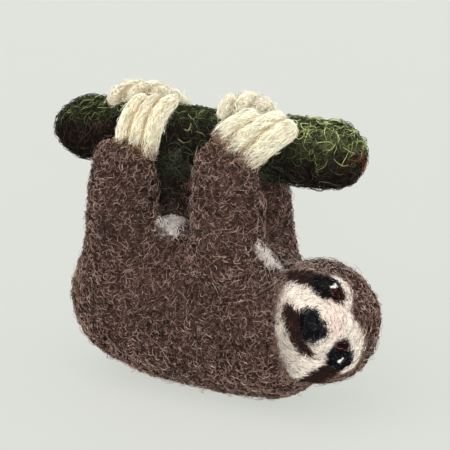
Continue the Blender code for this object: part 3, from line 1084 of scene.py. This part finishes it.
def shaded(strands, draws, low, high, dark, light):
    """Vary the brown wool from low to high, a share of it nearly black as painted shade in the gaps,
    some pale as painted highlights, and the marked wool a little.
    """
    colours, marked, _ = wool_colours(strands.roots, strands.normals)
    broad = 1 + 0.34 * lumps(strands.roots, 11 * MM, 21) + 0.12 * lumps(strands.roots, 3.5 * MM, 22)
    pick = draws.beta(1.1, 1.2, strands.count)
    tone = (low + (high - low) * pick) * broad
    fine = lumps(strands.middles(), 0.9 * MM, 23)
    # Painted shade: a share of the strands is nearly black and stands in for the shaded gaps between
    # curls.
    tone *= np.where(draws.random(strands.count) < dark * (1 - 0.7 * fine), 0.08, 1.0)
    # Lightest strands blended towards the pale wool: partly paler wool, partly painted highlights.
    pale_and_highlight = smooth_share(pick, 0.5, 1.0) * light * (tone > 0.5)
    brown = mix(colours * tone[:, None], settings("body").light, pale_and_highlight)
    brown = brown * (1 + draws.normal(0, 0.03, (strands.count, 1)) * np.array((1.0, 0.0, -1.0)))
    calm = colours * draws.normal(0.98, 0.12, (strands.count, 1)).clip(0.6, 1.2)
    strands.colours = mix(brown, calm, marked)


def grow_coat(name, kind, stations, shades, loose=0.0, **lie):
    """One kind of the body's wool, which lies along the skin and varies in shade."""
    body = settings("body")
    surface = Surface(bpy.data.objects["sloth_skin"])
    draws = draws_for(name)
    sizes = [getattr(body, f"{kind}_{size}") for size in ("density", "length", "width")]
    wool = Strands(surface, draws, *sizes, stations, area=coat_area, **lie)
    if loose:
        wool.loosen(draws, loose)
    wool.clear_of_claws()
    wool.rest_on_floor()
    shaded(wool, draws, *shades)
    wool.build(name, "curly_wool", "brown_wool")


def make_body_coat():
    """Underwool, curls and loose fibres all over the body."""
    depth = settings("body").coat_depth / MM
    # Shades: tone from low to high, the share painted nearly black as shade, and how strongly the
    # lightest strands are painted pale as highlights.
    grow_coat(
        "underwool", "under", 4, (0.26, 1.46, 0.36, 0.22),
        turn=0.75, wobble=0.55, lift=(0.1, depth * 0.95), sink=0.25, ripple=0.06,
    )
    grow_coat(
        "body_curls", "curl", 6, (0.3, 1.64, 0.28, 0.5),
        turn=0.6, wobble=0.5, lift=(depth * 0.5, depth * 1.2), sink=0.3, ripple=0.1,
    )
    grow_coat(
        "body_fuzz", "fuzz", 6, (0.8, 1.9, 0.15, 0.7), loose=0.3,
        turn=0.3, wobble=0.25, lift=(depth, depth + 0.9), sink=0.0, ripple=0.12, lean=(1.2, 3.0),
    )


# ---------------------------------------------------------------- face

def round_from(places, centre):
    """Directions on the face that run round a middle."""
    offset = flat_on_face(places) - np.array(centre)
    return np.stack((-offset[:, 1], offset[:, 0], np.zeros(len(places))), axis=1) @ FACE_TURN.T


def round_nose(places):
    """Directions that run round the nose."""
    return round_from(places, NOSE_CENTRE)


def make_face_coat():
    """Fine fibres combed round the nose over the cream mask and its dark marks."""
    face, body = settings("face"), settings("body")
    draws = draws_for("face_fibres")
    fibres = Strands(
        Surface(bpy.data.objects["sloth_skin"]), draws, face.curl_density, face.curl_length,
        face.curl_width, 6, area=face_area, ways=round_nose, jitter=0.36, turn=0.18, wobble=0.2,
        lift=(0.1, body.coat_depth / MM * 0.95), sink=0.2, ripple=0.06, lean=(1.4, 1.6),
    )
    ends = [fibres.lines[:, 1], fibres.middles(), fibres.lines[:, -2]]
    over = np.maximum.reduce([face_marks(spots, fibres.normals)["pad"] for spots in ends])
    fibres.keep(over < 0.6)
    colours, _, marks = wool_colours(fibres.middles(), fibres.normals)
    tone = draws.choice((1.0, 0.88, 0.6, 0.36), fibres.count, p=(0.6, 0.22, 0.12, 0.06))
    colours *= (tone * draws.normal(1.0, 0.06, fibres.count))[:, None]
    rusty = draws.random(fibres.count) < 0.05 * marks["dark"] + 0.3 * marks["rust"]
    fibres.colours = mix(colours, face.rust, 0.7 * rusty)
    fibres.build("face_fibres", "combed_wool", "face_wool")


# Share of its mark that a pad fills, and each pad's half thickness and outward tilt.
PAD_SHARE = 0.9
EYE_TILT = math.radians(36)
PAD_SHAPES = {"nose": (2.3, 0.0), "eye_right": (1.9, -EYE_TILT), "eye_left": (1.9, EYE_TILT)}


def felt_pad(node):
    """Domed pad of black felt, added as a ball, shaped to its outline and put on the face."""
    thickness, tilt = PAD_SHAPES[node]
    centre = PADS[node].mean(axis=0)
    pad = added(
        node + "_felt", bpy.ops.mesh.primitive_uv_sphere_add,
        segments=56, ring_count=28, radius=MM,
    )
    shape = vertices(pad.data)
    edge = PADS[node] - centre
    edge = edge[np.argsort(np.arctan2(edge[:, 1], edge[:, 0]))]
    reach = PAD_SHARE * np.interp(
        np.arctan2(shape[:, 1], shape[:, 0]), np.arctan2(edge[:, 1], edge[:, 0]),
        np.hypot(*edge.T), period=2 * math.pi,
    )
    move_vertices(pad.data, shape * np.stack((reach, reach, np.full(len(reach), thickness)), axis=1))
    spot = Vector((*centre, on_face(np.array([middle(node)]))[0, 2])) * MM
    pad.data.transform(FACE @ Matrix.Translation(spot) @ Matrix.Rotation(tilt, 4, "X"))
    places = vertices(pad.data)
    places = emboss(pad, lumps(places, 2.2 * MM, 3) * 0.3 + lumps(places, 0.8 * MM, 13) * 0.1)
    paint(pad.data, pad_colours(node, places))
    unwrap(pad)
    finish(pad, "black_felt", "black_wool", node)


def pad_colours(node, places):
    """Black with a reddish corner and a white glint where the pad is an eye."""
    face, flat = settings("face"), flat_on_face(places)
    if node not in EYE_GLINTS:
        return np.tile(face.black, (len(flat), 1))
    return layered(
        face.black,
        (face.shade, smooth_share(-from_ovals(flat, EYE_CORNERS), -0.4, 0.3)),
        (face.glint, smooth_share(-from_ovals(flat, EYE_GLINTS[node]), -0.15, 0.1)),
    )


def make_face_felt(node):
    """Nose or eye: a pad of black felt under its own short fibres."""
    felt_pad(node)

    def area(places, normals):
        rim = from_edge(flat_on_face(places), PADS[node])
        return face_marks(places, normals)["pad"] * (rim < -0.1)

    def ways(places):
        if node == "nose":
            return np.tile(FACE_TURN[:, 1], (len(places), 1))
        return round_from(places, PADS[node].mean(axis=0))

    draws = draws_for(node + "_fibres")
    depth = settings("body").coat_depth / MM
    fibres = Strands(
        Surface(bpy.data.objects["sloth_skin"]), draws, settings("face").felt_density, 2.4 * MM,
        0.2 * MM, 5, area=area, ways=ways, jitter=0.4, turn=0.3, wobble=0.25,
        lift=(depth * 0.7, depth * 1.4), sink=-0.4, ripple=0.08,
    )
    fibres.colours = pad_colours(node, fibres.middles())
    # Painted sheen: among the black fibres some are darker and some four or twelve times lighter, grey
    # like wool that catches the light; the glint's white fibres are left as they are.
    tone = draws.choice((0.4, 1.0, 4.0, 12.0), fibres.count, p=(0.36, 0.36, 0.18, 0.1))
    bright = fibres.colours.max(axis=1) > 0.3
    fibres.colours *= np.where(bright, 1.0, tone)[:, None]
    fibres.build(node + "_fibres", "black_felt", "black_wool")


# ---------------------------------------------------------------- claws

# Thickness along a claw, as (share of its length, share of its thickness).
CLAW_SWELL = (
    (0.0, 0.8), (0.06, 0.95), (0.2, 1.0), (0.5, 1.0), (0.8, 0.98), (0.93, 0.84), (1.0, 0.5),
)
# Rings along a roll, and corners of each ring.
CLAW_STEPS = 26
CLAW_SIDES = 20
# How far past the tip a place's share of the length may lie, over how many stops it is sought,
# and the step that gives the claw's direction.
CLAW_END = 1.1
CLAW_STOPS = 60
CLAW_STEP = 0.02
# Form over a paw's claws: its voxels and passes, and how it is swollen and drawn in again.
MITTEN_VOXEL = 0.35 * MM
MITTEN_PASSES = 24
MITTEN_SWELL = 0.9 * MM
MITTEN_SHRINK = 0.65 * MM


def make_claw_roll(paw, node):
    """One claw: a roll of combed wool, modelled straight and bent round the branch."""
    claw, line, look = settings("claws"), CLAW_LINES[node], CLAW_LOOKS[paw]
    shares = np.linspace(0, 1, CLAW_STEPS)
    radii = line.radius * (look["full"] * claw.fullness) * np.interp(shares, *zip(*CLAW_SWELL))
    spine = line.at(shares * look["reach"])
    run = np.linalg.norm(np.diff(spine, axis=0), axis=1).sum()
    roll = added(
        node + "_roll", bpy.ops.mesh.primitive_circle_add, vertices=CLAW_SIDES,
        radius=float(radii[0]), fill_type="NGON", rotation=(0.0, math.pi / 2, 0.0),
    )
    bpy.ops.object.transform_apply(location=True, rotation=True, scale=True)
    bpy.ops.object.mode_set(mode="EDIT")
    bpy.ops.mesh.select_all(action="SELECT")
    for step, grow in zip((run * np.diff(shares)).tolist(), (radii[1:] / radii[:-1]).tolist()):
        bpy.ops.mesh.extrude_region_move(TRANSFORM_OT_translate={"value": (step, 0.0, 0.0)})
        bpy.ops.transform.resize(value=(grow, grow, grow))
    bpy.ops.object.mode_set(mode="OBJECT")
    edit_all(roll, bpy.ops.mesh.normals_make_consistent, inside=False)
    guide = linked(node + "_guide", bpy.data.curves.new(node + "_guide", "CURVE"))
    guide.data.dimensions = "3D"
    spline = guide.data.splines.new("POLY")
    spline.points.add(CLAW_STEPS - 1)
    for point, place in zip(spline.points, spine):
        point.co = (*place, 1.0)
    apply_modifier(roll, "CURVE", object=guide, deform_axis="POS_X")
    bpy.data.objects.remove(guide)
    apply_modifier(roll, "SUBSURF", levels=1, render_levels=1)
    places = vertices(roll.data)
    # Painted shade: the roll is a little tan all over and darker tan in the grooves between the claws.
    tan_and_groove_shade = 0.35 + 0.6 * claw_grooves(paw, places)
    colours = mix(claw.light, claw.warm, tan_and_groove_shade)
    paint(roll.data, claw_fade(paw, colours * 0.85, claw_share(line, places), 0.5))
    emboss(roll, lumps(places, 1.6 * MM, 4) * 0.18)
    unwrap(roll)
    finish(roll, "combed_wool", "claw_wool", node)


def claw_fade(paw, colours, share, pick):
    """Claw colours that go over to brown wool at the paw."""
    bare = CLAW_LOOKS[paw]["brown"] - share + 0.16 * (pick - 0.5)
    return mix(colours, settings("body").mid, smooth_share(bare, 0.0, 0.14))


def claw_gaps(paw, places):
    """Distance of each place from the middle line of each claw of a paw."""
    spines = [CLAW_LINES[node].spine for node in CLAW_NODES[paw]]
    return np.array([np.linalg.norm(places[:, None] - spine, axis=2).min(axis=1) for spine in spines])


def claw_grooves(paw, places):
    """How near each place is to the groove between two claws of a paw, from 0 to 1."""
    first, second = np.sort(claw_gaps(paw, places), axis=0)[:2]
    return 1 - smooth_share(second - first, 0.1 * MM, 1.3 * MM)


def claw_share(line, places):
    """Share along a claw of each place."""
    shares = np.linspace(0, CLAW_END, CLAW_STOPS)
    spine = line.at(shares)
    return shares[((places[:, None, :] - spine[None]) ** 2).sum(axis=2).argmin(axis=1)]


def on_claws(paw, places):
    """Share along the nearest claw of a paw, and the claw's direction, at each place."""
    nearest = claw_gaps(paw, places).argmin(axis=0)
    share = np.empty(len(places))
    way = np.empty((len(places), 3))
    for number, node in enumerate(CLAW_NODES[paw]):
        line, here = CLAW_LINES[node], nearest == number
        share[here] = claw_share(line, places[here])
        way[here] = line.at(share[here] + CLAW_STEP) - line.at(share[here] - CLAW_STEP)
    return share, way


def make_mitten(paw):
    """Form over the three claws of a paw, its grooves filled, for their strands to be laid on."""
    rolls = [bpy.data.objects[node + "_roll"] for node in CLAW_NODES[paw]]
    mitten = join([linked(paw + "_mitten", roll.data.copy()) for roll in rolls])
    swell(mitten, MITTEN_SWELL)
    one_form(mitten, MITTEN_VOXEL, MITTEN_PASSES)
    swell(mitten, -MITTEN_SHRINK)
    unwrap(mitten)
    return mitten


def comb_paw(paw, draws):
    """Combed strands along the claws of a paw, and the frizz where their wool is frayed."""
    claw, look = settings("claws"), CLAW_LOOKS[paw]
    loose = look["loose"]
    mitten = make_mitten(paw)
    surface = Surface(mitten)

    def along(places):
        return on_claws(paw, places)[1]

    strands = Strands(
        surface, draws, claw.strand_density, claw.strand_length * (1 - 0.4 * loose),
        claw.strand_width, 5, ways=along, jitter=0.14 + 0.5 * loose, turn=0.05 + 0.35 * loose,
        wobble=0.07 + 0.25 * loose, lift=(0.02, 0.3 + 0.5 * loose), sink=0.12, ripple=0.05,
    )
    frizz = Strands(
        surface, draws, 0.8 + 1.4 * loose, 3.4 * MM, 0.12 * MM, 5, ways=along, jitter=1.2,
        turn=0.45, wobble=0.35, lift=(0.25, 0.9 + 0.9 * loose), sink=0.1, ripple=0.12,
        lean=(1.2, 2.2),
    )
    frizz.loosen(draws, 0.5)
    cell = np.array(divmod(PAWS.index(paw), 2))[::-1] / 2
    for group in (strands, frizz):
        share, _ = on_claws(paw, group.middles())
        grooves = claw_grooves(paw, group.middles())
        group.bake_places = cell + group.bake_places / 2
        # Painted shade: tan in the grooves between the claws, with some strands tan at random.
        tan_and_groove_shade = look["warm"] * (grooves + draws.beta(1, 2.6, group.count) * 1.3) * (1 - 0.3 * loose)
        colours = mix(claw.light, claw.warm, tan_and_groove_shade.clip(0, 1))
        grey = smooth_share(share, 0.6, 1.0) * 0.8 * loose * draws.random(group.count)
        colours = mix(colours, claw.grey, grey)
        colours *= draws.normal(0.98, 0.1, (group.count, 1)).clip(0.6, 1.1)
        # Painted shade: loose paws are darker in their grooves.
        colours *= (1.04 - 0.3 * loose * grooves)[:, None]
        group.colours = claw_fade(paw, colours, share, draws.random(group.count) * 1.6 - 0.3)
    bpy.data.objects.remove(mitten)
    return strands, frizz


def make_claw_strands():
    """Strands and frizz of all four paws, as one piece each."""
    draws = draws_for("claw_strands")
    strands, frizz = zip(*[comb_paw(paw, draws) for paw in PAWS])
    joined(strands).build("claw_strands", "combed_wool", "claw_wool")
    joined(frizz).build("claw_frizz", "combed_wool", "claw_wool")


# ---------------------------------------------------------------- branch

# The core's voxels and passes, and how deep it lies under the moss.
CORE_VOXEL = 0.8 * MM
CORE_PASSES = 12
CORE_DEPTH = 0.8 * MM
# Middle and half sizes of the brown wisps under a paw, (millimetres along the branch, degrees
# from its top), and the place of a red tuft from the branch's middle.
PAW_WISPS = ((-31.0, 82.0), (5.5, 30.0))
RED_TUFT = (49.4, -1.2, -0.4)
TUFT_RADIUS = 2.2
# Stretches along the branch between the legs, from its middle, where wool hangs.
HANGING_SPACES = ((-11.5, -1.0), (19.0, 25.0))


def around_branch(places):
    """x along the branch in millimetres from its middle, and the angle from its top."""
    offset = (places - np.array(BRANCH_MIDDLE)) / MM
    return offset[:, 0], np.arctan2(-offset[:, 1], offset[:, 2])


def moss_share(places):
    """How green the branch is at each place, from 0 to 1."""
    x, angle = around_branch(places)
    top = smooth_share(np.cos(angle), 0.1, 0.95)
    front = smooth_share(np.cos(angle), -0.55, 0.4)
    right = smooth_share(x, 18.0, 34.0)
    patches = lumps(places, 6 * MM, 8) * 0.5 + lumps(places, 2.2 * MM, 9) * 0.35
    return (top * 0.6 + front * right * 0.7 + patches * 0.6 - 0.1).clip(0, 1)


def moss_colours(places, pick):
    """Branch colours: dark wool below, moss above, freshest on the top and at the head end."""
    branch = settings("branch")
    green = moss_share(places)
    return layered(
        branch.bark,
        (branch.deep, smooth_share(green + pick * 0.3, -0.1, 0.3)),
        (branch.moss, smooth_share(green + pick * 0.2, 0.25, 0.65)),
        (branch.fresh, smooth_share(green + pick * 0.5, 0.45, 1.05)),
    )


def make_branch_core():
    """Dark felted core of the branch, under its moss."""
    core = merged_copy("branch_core", ("branch",))
    one_form(core, CORE_VOXEL, CORE_PASSES)
    swell(core, -CORE_DEPTH)
    places = vertices(core.data)
    places = emboss(core, lumps(places, 6 * MM, 5) * 0.4 + lumps(places, 2.2 * MM, 6) * 0.2)
    bark = np.array(settings("branch").bark) * 0.5
    paint(core.data, mix(moss_colours(places, 0.0), bark, 0.85))
    unwrap(core)
    finish(core, "matted_wool", "branch_wool", "branch")


def shade_moss(group, draws, low, high, dark):
    """Moss colours from low to high, a share nearly black as painted shade in the gaps, with brown wisps
    and a red tuft.
    """
    colours = moss_colours(group.roots, draws.normal(0, 0.5, group.count))
    x, angle = around_branch(group.roots)
    (wisp_x, wisp_angle), (wisp_length, wisp_turn) = PAW_WISPS
    wisps = np.hypot((x - wisp_x) / wisp_length, (np.degrees(angle) - wisp_angle) / wisp_turn)
    brown = (wisps < 1) & (draws.random(group.count) < 0.85)
    colours = np.where(brown[:, None], np.array(settings("body").mid) * 0.45, colours)
    tone = low + (high - low) * draws.beta(1.0, 1.4, group.count)
    # Painted shade: a share of the strands is nearly black and stands in for the shaded gaps among the
    # loops.
    tone *= np.where(draws.random(group.count) < dark, 0.12, 1.0)
    from_tuft = np.linalg.norm((group.roots - np.array(BRANCH_MIDDLE)) / MM - RED_TUFT, axis=1)
    tuft = from_tuft < TUFT_RADIUS
    colours = np.where(tuft[:, None], np.array(settings("face").rust), colours)
    group.colours = colours * np.where(tuft, 1.4, tone)[:, None]


def make_moss():
    """Underwool and curly loops of moss wool round the branch."""
    branch = settings("branch")
    surface = Surface(bpy.data.objects["branch_core"])
    draws = draws_for("moss_loops")
    under = Strands(
        surface, draws, branch.under_density, 4.0 * MM, 0.25 * MM, 5, turn=0.45, wobble=0.3,
        lift=(0.1, 0.9), sink=0.3, ripple=0.1,
    )
    loops = Strands(
        surface, draws, branch.curl_density, branch.curl_length, branch.curl_width, 8,
        turn=0.42, wobble=0.22, lift=(0.4, 1.7), sink=0.3, ripple=0.12, lean=(1.5, 2.2),
    )
    # The underwool is kept dark, as painted shade under the loops.
    for name, group, shades in (
        ("moss_underwool", under, (0.03, 0.75, 0.45)),
        ("moss_loops", loops, (0.2, 1.9, 0.42)),
    ):
        group.clear_of_claws()
        shade_moss(group, draws, *shades)
        group.build(name, "curly_wool", "branch_wool")


def hanging_area(places, normals):
    """Where wool hangs from the branch: low on its sides, between the legs."""
    x, angle = around_branch(places)
    between = np.maximum.reduce([
        smooth_share(x - low, -3.0, 1.0) * smooth_share(high - x, -3.0, 1.0)
        for low, high in HANGING_SPACES
    ])
    return between * smooth_share(-np.cos(angle), -0.2, 0.2) * (np.abs(np.sin(angle)) > 0.25)


def make_hanging_moss():
    """Wisps of dark green wool that hang from the branch between the legs."""
    draws = draws_for("hanging_moss")
    wisps = Strands(
        Surface(bpy.data.objects["branch_core"]), draws, 1.8, 7.0 * MM, 0.25 * MM, 8,
        area=hanging_area, turn=0.4, wobble=0.25, lift=(0.2, 1.0), sink=0.2, ripple=0.1,
    )
    run = np.linspace(0, 1, wisps.lines.shape[1]) ** 1.4
    drop = draws.uniform(1.0, 8.0, wisps.count) * draws.beta(1.5, 1.2, wisps.count)
    drop *= np.where(around_branch(wisps.roots)[0] > 10, 0.35, 1.0)
    spread = draws.normal(0, 0.8, (wisps.count, 2))
    wisps.lines[:, :, 2] -= run * drop[:, None] * MM
    wisps.lines[:, :, :2] += (run[None, :, None] * spread[:, None]) * MM
    shades = 0.3 + 1.9 * draws.beta(1.0, 2.0, (wisps.count, 1))
    wisps.colours = np.array(settings("branch").deep) * shades
    wisps.build("hanging_moss", "curly_wool", "branch_wool")


# ---------------------------------------------------------------- stage

FLOOR_SIZE = 8.0
SKY_COLOUR = (0.97, 0.985, 1.0, 1.0)
SUN_COLOUR = (1.0, 0.985, 0.96)
# What the camera looks at, from the middle of the branch along x, and its height.
TARGET_ALONG = 6.7 * MM
TARGET_HEIGHT = 51.3 * MM


def make_floor():
    """Pale floor, plain but for faint clouds."""
    stage = settings("stage")
    floor = added(
        "floor", bpy.ops.mesh.primitive_plane_add, size=FLOOR_SIZE, location=(0.0, 0.0, 0.0)
    )
    nodes = Nodes("pale_floor")
    place = nodes.add("ShaderNodeTexCoord", "Object", {})
    cloud = nodes.add("ShaderNodeTexNoise", "Fac", {"Vector": place, "Scale": 9.0, "Detail": 3.0})
    blend = nodes.add("ShaderNodeMix", "Result", {
        "Factor": cloud, "A": (*(value * 0.98 for value in stage.floor_colour), 1.0),
        "B": (*stage.floor_colour, 1.0),
    }, data_type="RGBA")
    floor.data.materials.append(nodes.shade({
        "Base Color": blend, "Emission Color": blend, "Emission Strength": stage.floor_glow,
        "Roughness": 0.8, "Specular IOR Level": 0.2,
    }))


def make_stage():
    """Floor, soft light and the camera."""
    make_floor()
    scene, stage = bpy.context.scene, settings("stage")
    world = bpy.data.worlds.new("studio")
    world.use_nodes = True
    background = world.node_tree.nodes["Background"]
    background.inputs["Color"].default_value = SKY_COLOUR
    background.inputs["Strength"].default_value = stage.fill_strength
    scene.world = world

    back, right = direction(stage.azimuth, stage.elevation), sideways(stage.azimuth)
    target = Vector((BRANCH_MIDDLE.x + TARGET_ALONG, BRANCH_MIDDLE.y, TARGET_HEIGHT))
    camera = linked("camera", bpy.data.cameras.new("camera"))
    camera.data.lens = stage.lens
    camera.data.clip_start = 0.01
    camera.location = target + back * stage.distance
    camera.rotation_euler = back.to_track_quat("Z", "Y").to_euler()
    scene.camera = camera

    above = Vector((0.0, 0.0, 1.0))
    towards_key = (above * 0.85 - right * 0.35 + back * 0.45).normalized()
    towards_side = (right + back * 0.5 + above * 0.15).normalized()
    for name, towards, strength, softness in (
        ("key", towards_key, stage.key_strength, stage.key_softness),
        ("front", back, stage.front_strength, stage.front_softness),
        ("side", towards_side, stage.side_strength, stage.key_softness),
    ):
        sun = linked(name, bpy.data.lights.new(name, "SUN"))
        sun.data.energy = strength
        sun.data.angle = softness
        sun.data.color = SUN_COLOUR
        sun.rotation_euler = towards.to_track_quat("Z", "Y").to_euler()
    scene.view_settings.view_transform = "Standard"


# ---------------------------------------------------------------- operators and panel

class SLOTH_OT_stage(bpy.types.Operator):
    """Add the floor, the light and the camera"""

    bl_idname = "sloth.stage"
    bl_label = "Stage"

    def execute(self, context):
        make_stage()
        return {"FINISHED"}


class SLOTH_OT_skin(bpy.types.Operator):
    """Felt the body as one skin"""

    bl_idname = "sloth.skin"
    bl_label = "Skin"

    def execute(self, context):
        make_skin()
        return {"FINISHED"}


class SLOTH_OT_body_coat(bpy.types.Operator):
    """Cover the body with curly wool and loose fibres"""

    bl_idname = "sloth.body_coat"
    bl_label = "Body coat"

    def execute(self, context):
        make_body_coat()
        return {"FINISHED"}


class SLOTH_OT_face(bpy.types.Operator):
    """Felt the nose and eyes and comb the face round them"""

    bl_idname = "sloth.face"
    bl_label = "Face"

    def execute(self, context):
        for node in ("nose", "eye_right", "eye_left"):
            make_face_felt(node)
        make_face_coat()
        return {"FINISHED"}


class SLOTH_OT_claws(bpy.types.Operator):
    """Roll the claws and comb them"""

    bl_idname = "sloth.claws"
    bl_label = "Claws"

    def execute(self, context):
        for paw, nodes in CLAW_NODES.items():
            for node in nodes:
                make_claw_roll(paw, node)
        make_claw_strands()
        return {"FINISHED"}


class SLOTH_OT_branch(bpy.types.Operator):
    """Felt the branch and cover it with moss"""

    bl_idname = "sloth.branch"
    bl_label = "Branch"

    def execute(self, context):
        make_branch_core()
        make_moss()
        make_hanging_moss()
        return {"FINISHED"}


SETTINGS = {
    "sloth_body": SlothBodySettings,
    "sloth_face": SlothFaceSettings,
    "sloth_claws": SlothClawSettings,
    "sloth_branch": SlothBranchSettings,
    "sloth_stage": SlothStageSettings,
}
OPERATORS = (
    SLOTH_OT_stage, SLOTH_OT_skin, SLOTH_OT_claws, SLOTH_OT_branch, SLOTH_OT_face,
    SLOTH_OT_body_coat,
)


class SLOTH_PT_panel(bpy.types.Panel):
    """Pieces of the felted sloth and their settings"""

    bl_idname = "SLOTH_PT_panel"
    bl_label = "Felted sloth"
    bl_space_type = "VIEW_3D"
    bl_region_type = "UI"
    bl_category = "Sloth"

    def draw(self, context):
        layout = self.layout
        for operator in OPERATORS:
            layout.operator(operator.bl_idname)
        for name in SETTINGS:
            box = layout.box()
            group = getattr(context.scene, name)
            for setting in group.bl_rna.properties:
                if not setting.is_readonly and setting.identifier != "name":
                    box.prop(group, setting.identifier)


def register():
    for name, group in SETTINGS.items():
        bpy.utils.register_class(group)
        setattr(bpy.types.Scene, name, PointerProperty(type=group))
    for operator in OPERATORS:
        bpy.utils.register_class(operator)
    bpy.utils.register_class(SLOTH_PT_panel)


def unregister():
    bpy.utils.unregister_class(SLOTH_PT_panel)
    for operator in reversed(OPERATORS):
        bpy.utils.unregister_class(operator)
    for name, group in reversed(SETTINGS.items()):
        delattr(bpy.types.Scene, name)
        bpy.utils.unregister_class(group)


def main():
    register()
    bpy.ops.object.select_all(action="DESELECT")
    bpy.ops.sloth.stage()
    bpy.ops.sloth.skin()
    bpy.ops.sloth.claws()
    bpy.ops.sloth.branch()
    bpy.ops.sloth.face()
    bpy.ops.sloth.body_coat()


if __name__ == "__main__":
    main()
